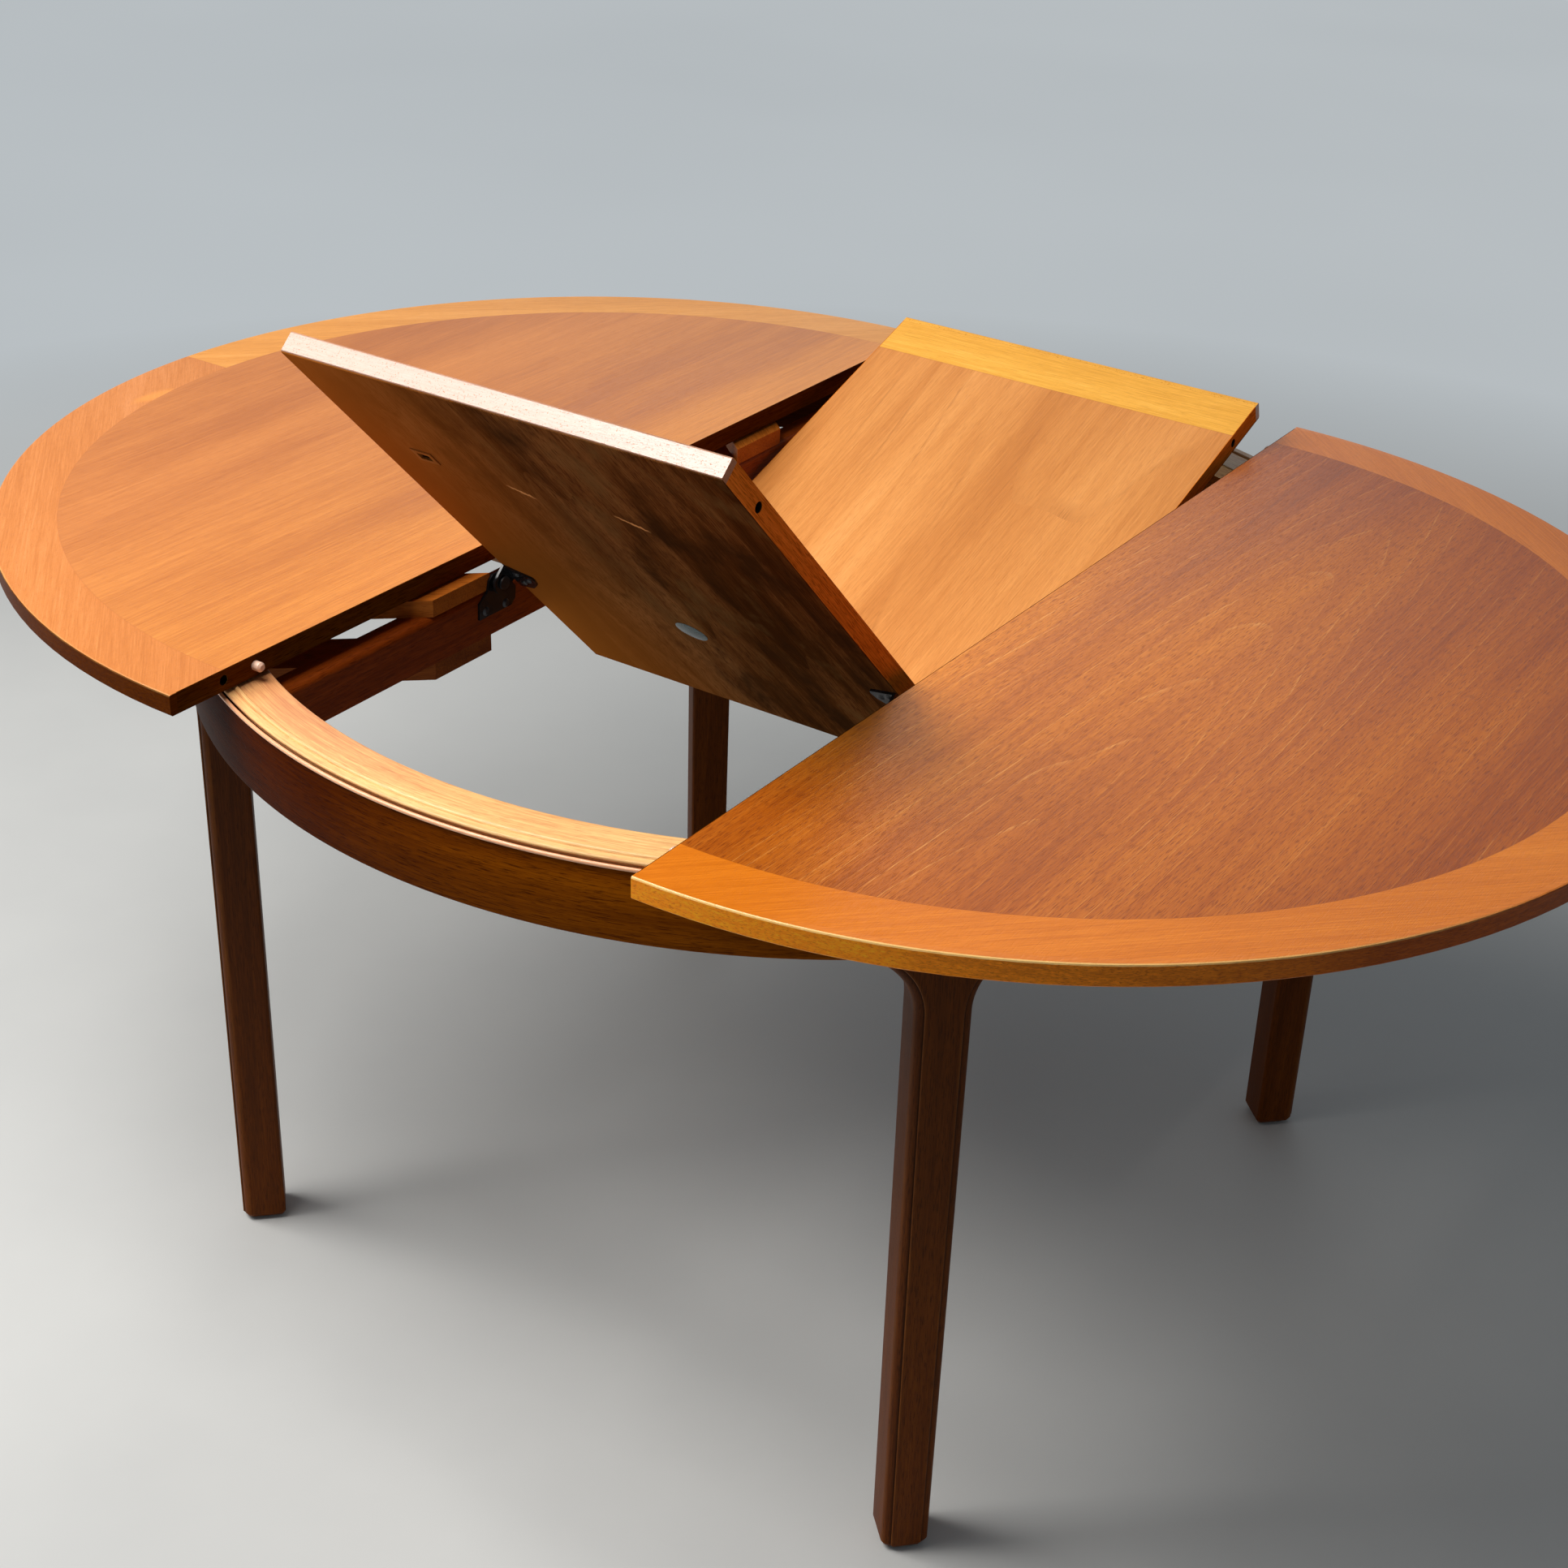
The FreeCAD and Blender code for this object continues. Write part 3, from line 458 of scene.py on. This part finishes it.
# end lipping of a flap: glossy end, upper face like the end band, underside like the rest
def leafEdge(name, lift, bandTone):
    made, tree, shader, place = startFinish(name)
    x, y, z = split(tree, layFlat(tree, place, lift))
    colour, height, rough = woodLook(tree, join(tree, x, z, y), dict(teakFlap, rough=0.3))
    colour = tint(tree, colour, leafLook["endTone"])
    onFace = calc(tree, "GREATER_THAN", z, leafLook["faceLevel"])
    under = calc(tree, "LESS_THAN", z, leafLook["underLevel"])
    colour = mixTo(tree, onFace, colour, leafBand(tree, x, y, z, bandTone))
    colour = mixTo(tree, under, colour, underLook(tree, x, y, z))
    fleck = ease(tree, speckle(tree, place, (620.0, 620.0, 620.0), 2.0, 0.6).outputs[0], 0.58, 0.70)
    colour = mixTo(tree, calc(tree, "MULTIPLY", fleck, 0.6), colour, teakEdge["tones"][0])
    shine = calc(tree, "MULTIPLY_ADD", under, -0.72, calc(tree, "MULTIPLY_ADD", onFace, -0.22, 0.72))
    shine = calc(tree, "MULTIPLY_ADD", fleck, -0.5, shine)
    endFinish(tree, shader, colour, rough, height, 0.00004, calc(tree, "MAXIMUM", shine, 0.0))
    return made


# plate let into the underside and stained along with it, with painted shade inside its slot
def underPlate(name, lift):
    made, tree, shader, place = startFinish(name)
    x, y, z = split(tree, layFlat(tree, place, lift))
    under = calc(tree, "LESS_THAN", z, leafLook["underLevel"])
    colour = mixTo(tree, under, holeShadeTone, underLook(tree, x, y, z))
    scuff = speckle(tree, place, (300.0, 300.0, 300.0), 3.0, 0.6).outputs[0]
    endFinish(tree, shader, colour, calc(tree, "MULTIPLY_ADD", scuff, 0.2, 0.4), scuff, 0.00005, 0.03)
    return made


# apron: stained, with painted shade on the left and painted light toward the right, and a bare pale bead
# along its upper edge
apronBead = {"level": 0.7083, "tone": (0.86, 0.42, 0.22), "sides": ((0.66, 0.42, 0.1), (1.95, 1.8, 0.4))}


def apronWood(name, wood, turnTo):
    made, tree, shader, place = startFinish(name)
    colour, height, rough = woodLook(tree, turnTo(tree, place), wood)
    x, y, z = split(tree, place)
    # painted shade on the left, painted light toward the right
    colour = tint(tree, colour, mixTo(tree, ease(tree, x, -0.1, 0.22), *apronBead["sides"]))
    bead = ease(tree, z, apronBead["level"] - 0.0002, apronBead["level"] + 0.0002)
    colour = mixTo(tree, bead, colour, apronBead["tone"])
    rough = calc(tree, "MULTIPLY_ADD", bead, -0.2, rough)
    shine = calc(tree, "MULTIPLY_ADD", bead, 0.6, wood["shine"])
    endFinish(tree, shader, colour, rough, height, wood["depth"], shine)
    return made


# leg: stained, paler toward the foot as painted light, painted shade in the quirks beside the raised panel,
# and rubbed arrises with a painted highlight; the shade and the arrises are painted on the points
# the first tint is painted light toward the foot, the second painted shade in the quirks, the third rubbed
# arrises with a painted highlight
legTones = {"foot": (1.5, 1.45, 1.1), "quirkShade": (0.012, 0.003, 0.0003), "rubbed": (0.26, 0.085, 0.012)}


def legWood(name, wood):
    made, tree, shader, place = startFinish(name)
    colour, height, rough = woodLook(tree, grainZ(tree, place), wood)
    x, y, z = split(tree, place)
    # painted light: paler toward the foot
    colour = mixTo(tree, ease(tree, z, 0.45, 0.05), colour, tint(tree, colour, legTones["foot"]))
    patch = speckle(tree, place, (40.0, 40.0, 14.0), 3.0, 0.6).outputs[0]
    # painted shade in the quirks, and rubbed arrises with a painted highlight, both read from the points
    quirkShade = add(tree, "Attribute", attribute_name="quirkShade").outputs["Fac"]
    arrisWearAndGleam = add(tree, "Attribute", attribute_name="arrisWearAndGleam").outputs["Fac"]
    colour = mixTo(tree, calc(tree, "MULTIPLY", quirkShade, 0.85), colour, legTones["quirkShade"])
    rubbed = calc(tree, "MULTIPLY", arrisWearAndGleam, ease(tree, patch, 0.3, 0.7))
    colour = mixTo(tree, calc(tree, "MULTIPLY", rubbed, 0.7), colour, legTones["rubbed"])
    endFinish(tree, shader, colour, rough, height, wood["depth"], wood["shine"])
    return made


# metals and plastics: a base colour with fine scuffs, rubbed brighter or duller in patches
def hardFinish(name, look):
    made, tree, shader, place = startFinish(name)
    cloud = speckle(tree, place, (60.0, 60.0, 60.0), 4.0, 0.6).outputs[0]
    scuff = speckle(tree, place, (900.0, 90.0, 300.0), 3.0, 0.6).outputs[0]
    rub = calc(tree, "MULTIPLY", ease(tree, cloud, 0.5, 0.75), ease(tree, scuff, 0.45, 0.75))
    colour = mixTo(tree, rub, look["main"], look["rubbed"])
    rough = calc(tree, "MULTIPLY_ADD", cloud, look["roughSpread"], look["rough"])
    endFinish(tree, shader, colour, rough, scuff, look["depth"])
    shader.inputs["Metallic"].default_value = look["metal"]
    return made


blackGloss = {"main": (0.006, 0.006, 0.007), "rubbed": (0.03, 0.03, 0.032), "rough": 0.08,
              "roughSpread": 0.22, "metal": 0.0, "depth": 0.00006}
oldBrass = {"main": (0.48, 0.32, 0.11), "rubbed": (0.70, 0.52, 0.24), "rough": 0.3, "roughSpread": 0.25,
            "metal": 1.0, "depth": 0.00008}
blackScrew = {"main": (0.010, 0.010, 0.011), "rubbed": (0.16, 0.16, 0.16), "rough": 0.22, "roughSpread": 0.25,
              "metal": 0.0, "depth": 0.00006}
zincSteel = {"main": (0.36, 0.36, 0.36), "rubbed": (0.55, 0.55, 0.54), "rough": 0.3, "roughSpread": 0.25,
             "metal": 1.0, "depth": 0.00008}
greyCap = {"main": (0.055, 0.085, 0.087), "rubbed": (0.14, 0.19, 0.195), "rough": 0.08, "roughSpread": 0.2,
           "metal": 0.0, "depth": 0.00004}
brownNylon = {"main": (0.035, 0.022, 0.014), "rubbed": (0.08, 0.06, 0.045), "rough": 0.5, "roughSpread": 0.3,
              "metal": 0.0, "depth": 0.0001}

# tints of the front and back of each band and edge, and of the flaps' end bands
leftBand = ((0.86, 1.00, 3.2), (1.05, 1.48, 3.8))
rightBand = ((1.04, 0.98, 0.7), (0.90, 0.84, 0.8))
# the edge tints are painted light and shade: the left edge darker all round, the right edge lighter at its
# front and darker further round
leftEdgeShade = ((0.20, 0.15, 0.06), (0.20, 0.16, 0.1))
rightEdgeLightShade = ((2.2, 2.3, 0.9), (0.66, 0.46, 0.3))
frontEnd, backEnd = (1.1, 1.6, 3.0), (1.32, 2.2, 4.0)
frontLift, backLift = leafLook["frontLift"], leafLook["backLift"]
finishes = {
    "top_board_left": topVeneer("left top veneer", -1, teakLeft, leftBand),
    "top_board_right": topVeneer("right top veneer", 1, teakField, rightBand),
    "top_lipping_left": lippingWood("left top edge", -1, teakEdge, leftEdgeShade, leftBand, -0.15, 0.01),
    "top_lipping_right": lippingWood("right top edge", 1, teakEdge, rightEdgeLightShade, rightBand, 0.6, 0.12),
    "leaf_board_front": leafVeneer("front flap veneer", frontLift, frontEnd, scratchLook["marks"]),
    "leaf_board_back": leafVeneer("back flap veneer", backLift, backEnd, ()),
    "leaf_lipping_front": leafEdge("front flap end", frontLift, frontEnd),
    "leaf_lipping_back": leafEdge("back flap end", backLift, backEnd),
    "apron_band": apronWood("apron stain", apronStain, grainRound(0.59)),
    "cap_ring": plainWood("pale ring wood", paleRing, grainRound(0.56)),
    "leg_": legWood("leg stain", darkStain),
    "beam_": plainWood("beam stain", beamStain, grainY),
    "guide_rail": plainWood("rail beech", plainBeech, grainX),
    "runner": plainWood("runner beech", plainBeech, grainX),
    "dowels": plainWood("dowel beech", dowelBeech, grainX),
    "pivot_plate": hardFinish("black bracket", blackGloss),
    "pivot_ear": hardFinish("black ear", blackGloss),
    "pivot_pin": hardFinish("black pins", blackScrew),
    "strike_plate": underPlate("strike plate stain", frontLift),
    "hinge_": hardFinish("hinge brass", oldBrass),
    "underside_disc": hardFinish("grey cap", greyCap),
    "foot_glides": hardFinish("glide nylon", brownNylon),
    "plate_screws": hardFinish("plate screws", blackScrew),
    "ear_screws": hardFinish("ear screws", blackScrew),
    "brace_screws": hardFinish("brace screws", zincSteel),
    "leg_bolts": hardFinish("bolt steel", zincSteel),
}
for level in ("upper", "lower"):
    for place, degrees in (("front_left", 42), ("front_right", -42), ("back_right", 42), ("back_left", -42)):
        key = "brace_%s_%s" % (level, place)
        # the front lower braces take the darker copy, painted shade
        stain = shadedBraceStain if place.startswith("front") and level == "lower" else braceStain
        finishes[key] = plainWood(key.replace("_", " "), stain, grainTurned(degrees))
for label, item in cadNodes.items():
    found = max((key for key in finishes if label.startswith(key)), key=len)
    item.data.materials.clear()
    item.data.materials.append(finishes[found])
print("finishes set:", len(finishes))


# faces of a grid of points (rows, columns, 3) that closes across its columns, and across its rows if wanted
def gridFaces(rows, columns, closeRows=False, start=0):
    row = np.arange(rows if closeRows else rows - 1)[:, None]
    column = np.arange(columns)[None, :]
    after = (column + 1) % columns
    upper = (row + 1) % rows
    quads = np.stack([row * columns + column, row * columns + after,
                      upper * columns + after, upper * columns + column], axis=-1)
    return quads.reshape(-1, 4) + start


def meshPiece(name, points, faces, body, nodes, finish, sharp, paint=None):
    mesh = bpy.data.meshes.new(name)
    mesh.from_pydata(points.tolist(), [], faces)
    work = bmesh.new()
    work.from_mesh(mesh)
    bmesh.ops.recalc_face_normals(work, faces=work.faces)
    work.to_mesh(mesh)
    work.free()
    mesh.shade_smooth()
    mesh.set_sharp_from_angle(angle=math.radians(sharp))
    mesh.materials.append(finish)
    for word, amounts in (paint or {}).items():
        mesh.attributes.new(word, "FLOAT", "POINT").data.foreach_set("value", amounts.astype(np.float32))
    piece = bpy.data.objects.new(name, mesh)
    scene.collection.objects.link(piece)
    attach(piece, body)
    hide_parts(*nodes)
    return piece


# leg: a section carried up a path. Each section point has a set-back from the outer face and an inset from
# the half width, so the raised panel and its quarter-round edges follow the taper and the flare
legShape = {"ring": 0.565, "depth": 0.044, "foot": 0.02175, "neck": 0.0243, "low": 0.004, "heel": 0.004,
            "top": 0.642, "flareRadius": 0.058, "flareSweep": 76.0, "ovolo": 0.0078, "quirk": 0.0019,
            "panelBevel": 0.0007, "innerRound": 0.004, "postHalf": 0.03, "postOut": 0.567, "postTop": 0.7,
            "postEase": 0.002}


def legPoints(leg):
    arc = np.radians(np.linspace(0, 90, 9))
    bevel = leg["panelBevel"]
    setBack = np.concatenate([[0.0, 0.0, bevel], leg["quirk"] + (leg["ovolo"] - 0.0004) * (1 - np.cos(arc)),
                              leg["depth"] - leg["innerRound"] * (1 - np.sin(arc))])
    inset = np.concatenate([leg["ovolo"] + np.array([4 * bevel, bevel, 0.0]),
                            leg["ovolo"] * (1 - np.sin(arc)), leg["innerRound"] * (1 - np.cos(arc))])
    setBack = np.concatenate([setBack, setBack[::-1]])
    side = np.repeat([1.0, -1.0], len(inset))
    inset = np.concatenate([inset, inset[::-1]])
    spring = leg["top"] - leg["flareRadius"]
    share = np.linspace(0, 1, 12)
    sweep = np.radians(np.linspace(0, leg["flareSweep"], 20))[1:]
    heel = leg["low"] + leg["heel"]
    height = np.concatenate([[leg["low"]], heel + share * (spring - leg["low"] - leg["heel"]),
                             spring + leg["flareRadius"] * np.sin(sweep), [leg["top"]]])
    straight = np.interp(height, [heel, spring], [leg["foot"], leg["neck"]])
    shrink = np.zeros_like(height)
    shrink[0] = leg["heel"] / 2
    # flare: circles about one middle, wider ones for the points set further in
    rise = np.clip(height, spring, height[-2]) - spring
    radius = leg["flareRadius"] + inset[None, :]
    flare = radius - np.sqrt(radius ** 2 - rise[:, None] ** 2)
    outer = leg["ring"] + leg["depth"] / 2
    squeeze = 1 - 2 * shrink / leg["depth"]
    radial = outer - shrink[:, None] - setBack[None, :] * squeeze[:, None]
    tangent = side[None, :] * (straight[:, None] - shrink[:, None] - inset[None, :] + flare)
    tall = np.broadcast_to(height[:, None], radial.shape)
    return np.stack([radial, tangent, tall], axis=-1)


# post behind the apron: a plain upright with eased corners
def postPoints(leg):
    inner, outer = leg["ring"] - leg["depth"] / 2, leg["postOut"]
    half, soft = leg["postHalf"], leg["postEase"]
    low = leg["top"] - leg["flareRadius"] * (1 - math.sin(math.radians(leg["flareSweep"])))
    plan = np.array([
        (inner, half - soft), (inner, -half + soft), (inner + soft, -half), (outer - soft, -half),
        (outer, -half + soft), (outer, half - soft), (outer - soft, half), (inner + soft, half)])
    tall = np.array([low, leg["postTop"]])
    return np.stack([np.broadcast_to(plan[None, :, 0], (2, 8)), np.broadcast_to(plan[None, :, 1], (2, 8)),
                     np.broadcast_to(tall[:, None], (2, 8))], axis=-1)


# faces of such a grid with its first and last row closed
def capped(grid, start=0):
    rows, columns = grid.shape[:2]
    around = start + np.arange(columns)
    faces = gridFaces(rows, columns, start=start).tolist()
    return faces + [around[::-1].tolist(), (around + (rows - 1) * columns).tolist()]


legGrid, postGrid = legPoints(legShape), postPoints(legShape)
columns = legGrid.shape[1]
# how much painted shade (quirks) and wear with a painted highlight (arrises) lies on which points, the same
# on both sides
legPaint = {"quirkShade": {3: 1.0, 4: 0.35}, "arrisWearAndGleam": {1: 0.5, 2: 1.0, 8: 0.35, 9: 0.6, 10: 0.5}}
painted = {}
for word, spots in legPaint.items():
    row = np.zeros(columns)
    for at, amount in spots.items():
        row[[at, columns - 1 - at]] = amount
    painted[word] = np.concatenate([np.tile(row, legGrid.shape[0]), np.zeros(postGrid.size // 3)])
legFlat = np.concatenate([legGrid.reshape(-1, 3), postGrid.reshape(-1, 3)])
legFaces = capped(legGrid) + capped(postGrid, legGrid.size // 3)
for place, degrees in quarterAngles.items():
    turn = math.radians(degrees)
    swing = np.array([[math.cos(turn), math.sin(turn), 0], [-math.sin(turn), math.cos(turn), 0], [0, 0, 1]])
    leg = meshPiece("shaped_leg_" + place, legFlat @ swing, legFaces, "base", ["leg_" + place],
                    finishes["leg_"], 24, painted)
print("legs made")

# apron and its pale inner ring: closed outlines (radius, height in millimetres) carried once round the middle
ringShape = {"steps": 256, "roundSteps": 7}


def arcRun(middle, radius, first, last, steps):
    angle = np.radians(np.linspace(first, last, steps))
    return np.stack([middle[0] + radius * np.cos(angle), middle[1] + radius * np.sin(angle)], axis=-1)


def turnRing(name, outline, nodes, finish):
    angle = np.linspace(0, 2 * math.pi, ringShape["steps"], endpoint=False)[:, None]
    radius, height = outline[None, :, 0] / 1000, outline[None, :, 1] / 1000
    tall = np.broadcast_to(height, (ringShape["steps"], outline.shape[0]))
    grid = np.stack([radius * np.cos(angle), radius * np.sin(angle), tall], axis=-1)
    faces = gridFaces(grid.shape[0], grid.shape[1], closeRows=True).tolist()
    piece = meshPiece(name, grid.reshape(-1, 3), faces, "base", nodes, finish, 35)


steps = ringShape["roundSteps"]
apronOutline = np.concatenate([
    [(568.0, 642.0)], arcRun((587.0, 645.0), 3.0, -90, 0, steps), [(590.0, 707.4), (589.6, 708.1)],
    arcRun((589.2, 709.9), 1.9, -65, 160, 2 * steps), [(587.1, 709.4), (586.7, 708.0), (568.0, 708.0)],
])
capOutline = np.concatenate([
    [(568.0, 708.2), (568.0, 700.0), (540.0, 700.0)], arcRun((542.0, 714.0), 2.0, 180, 90, steps),
    [(573.8, 716.3), (574.3, 715.5), (574.8, 716.2)], arcRun((577.2, 715.9), 2.4, 165, 15, steps),
    [(579.9, 715.5), (580.5, 716.3)], arcRun((586.3, 714.9), 1.6, 90, -70, steps),
    [(584.4, 713.2), (584.4, 708.2)],
])
wordsRound = ("right", "back", "left", "front")
turnRing("shaped_apron", apronOutline, ["apron_band_" + w for w in wordsRound], finishes["apron_band"])
turnRing("shaped_ring", capOutline, ["cap_ring_" + w for w in wordsRound], finishes["cap_ring"])
print("apron and ring made")

# button under the front flap: a shallow dome, its height falling with the square of the distance from the
# middle, carried once round
buttonShape = {"middle": (-0.0065, -0.191, -0.02), "radius": 0.0165, "rise": 0.0019, "lip": 0.0006,
               "steps": 48}


def buttonPoints(look):
    share = np.linspace(1.0, 0.04, 12)
    radius = look["radius"] * np.concatenate([[1.0], share])[:, None]
    height = np.concatenate([[0.0], look["lip"] + (look["rise"] - look["lip"]) * (1 - share ** 2)])[:, None]
    angle = np.linspace(0, 2 * math.pi, look["steps"], endpoint=False)[None, :]
    deep = np.broadcast_to(-height, (len(height), look["steps"]))
    laid = np.stack([radius * np.cos(angle), radius * np.sin(angle), deep], axis=-1)
    lift = math.radians(leafLook["frontLift"])
    turn = np.array([[1, 0, 0], [0, math.cos(lift), math.sin(lift)], [0, -math.sin(lift), math.cos(lift)]])
    return (laid + np.array(look["middle"])) @ turn + np.array(leafLook["fold"])


buttonGrid = buttonPoints(buttonShape)
button = meshPiece("shaped_button", buttonGrid.reshape(-1, 3), capped(buttonGrid), "front_leaf",
                   ["underside_disc"], finishes["underside_disc"], 40)
print("button made")

# floor, light and camera
floorLook = {"half": 60.0, "main": (0.62, 0.63, 0.62), "shade": (0.55, 0.56, 0.555), "near": 1.9, "far": 3.0,
             "backdrop": ((0.455, 0.490, 0.512), (0.495, 0.532, 0.555))}
floorMesh = bpy.data.meshes.new("studio_floor")
half = floorLook["half"]
corners = [(-half, -half, 0), (half, -half, 0), (half, half, 0), (-half, half, 0)]
floorMesh.from_pydata(corners, [], [(0, 1, 2, 3)])
floor = bpy.data.objects.new("studio_floor", floorMesh)
scene.collection.objects.link(floor)
floorFinish, tree, shader, place = startFinish("pale floor")
cloud = speckle(tree, place, (1.4, 1.4, 1.4), 5.0, 0.55).outputs[0]
endFinish(tree, shader, mixTo(tree, ease(tree, cloud, 0.3, 0.7), floorLook["shade"], floorLook["main"]),
          calc(tree, "MULTIPLY_ADD", cloud, 0.2, 0.5), cloud, 0.0004)
# far floor stands in for a pale backdrop, as the camera and reflections see it
away = length(tree, place)
drape = speckle(tree, place, (0.35, 0.35, 0.35), 3.0, 0.5).outputs[0]
glow = add(tree, "Emission", {"Color": mixTo(tree, ease(tree, drape, 0.3, 0.7), *floorLook["backdrop"])})
share = calc(tree, "MULTIPLY", seenRays(tree), ease(tree, away, floorLook["near"], floorLook["far"]))
both = add(tree, "MixShader", {0: share, 1: shader.outputs[0], 2: glow.outputs[0]})
tree.links.new(both.outputs[0], tree.nodes["Material Output"].inputs["Surface"])
floorMesh.materials.append(floorFinish)

skyLook = {"light": 0.16, "colour": (0.86, 0.93, 1.0), "seen": (0.475, 0.511, 0.533)}
world = bpy.data.worlds.new("studio") if scene.world is None else scene.world
scene.world = world
world.use_nodes = True
skyTree = world.node_tree
sky = skyTree.nodes["Background"]
sky.inputs["Color"].default_value = rgba(skyLook["colour"])
sky.inputs["Strength"].default_value = skyLook["light"]
# the camera and reflections see the backdrop colour above the far floor too
wall = add(skyTree, "Background", {"Color": rgba(skyLook["seen"]), "Strength": 1.0})
both = add(skyTree, "MixShader", {0: seenRays(skyTree), 1: sky.outputs[0], 2: wall.outputs[0]})
skyTree.links.new(both.outputs[0], skyTree.nodes["World Output"].inputs["Surface"])

lampLook = {
    "key": {"place": (-2.1, -1.45, 3.15), "aim": (0.0, 0.0, 0.6), "wide": 2.0, "tall": 2.0, "power": 105.0,
            "colour": (1.0, 0.97, 0.93)},
    "over": {"place": (-0.5, -0.9, 2.4), "aim": (-0.5, -0.9, 0.0), "wide": 0.9, "tall": 0.9, "power": 30.0,
             "colour": (1.0, 0.97, 0.94)},
    "sheen": {"place": (-2.7, 4.8, 3.2), "aim": (0.2, 0.2, 0.7), "wide": 3.0, "tall": 1.2, "power": 12.0,
              "colour": (0.9, 0.96, 1.0)},
}
for word, look in lampLook.items():
    data = bpy.data.lights.new("lamp_" + word, "AREA")
    data.shape = "RECTANGLE"
    data.size, data.size_y = look["wide"], look["tall"]
    data.energy = look["power"]
    data.color = look["colour"]
    lamp = bpy.data.objects.new("lamp_" + word, data)
    scene.collection.objects.link(lamp)
    lamp.location = look["place"]
    lamp.rotation_euler = (Vector(look["aim"]) - Vector(look["place"])).to_track_quat("-Z", "Y").to_euler()
    lamp.visible_camera = False

cameraLook = {"place": (1.219957, -1.881599, 1.709809), "aim": (0.14370, -0.19980, 0.6), "roll": 2.364,
              "lens": 57.822, "shift": (-0.01838, 0.00629)}
cameraData = bpy.data.cameras.new("camera")
cameraData.sensor_width = 36.0
cameraData.lens = cameraLook["lens"]
cameraData.shift_x, cameraData.shift_y = cameraLook["shift"]
camera = bpy.data.objects.new("camera", cameraData)
scene.collection.objects.link(camera)
camera.location = cameraLook["place"]
look = (Vector(cameraLook["aim"]) - Vector(cameraLook["place"])).to_track_quat("-Z", "Y")
camera.rotation_mode = "QUATERNION"
camera.rotation_quaternion = look @ Quaternion((0, 0, 1), math.radians(cameraLook["roll"]))
scene.camera = camera
print("floor, light and camera set")
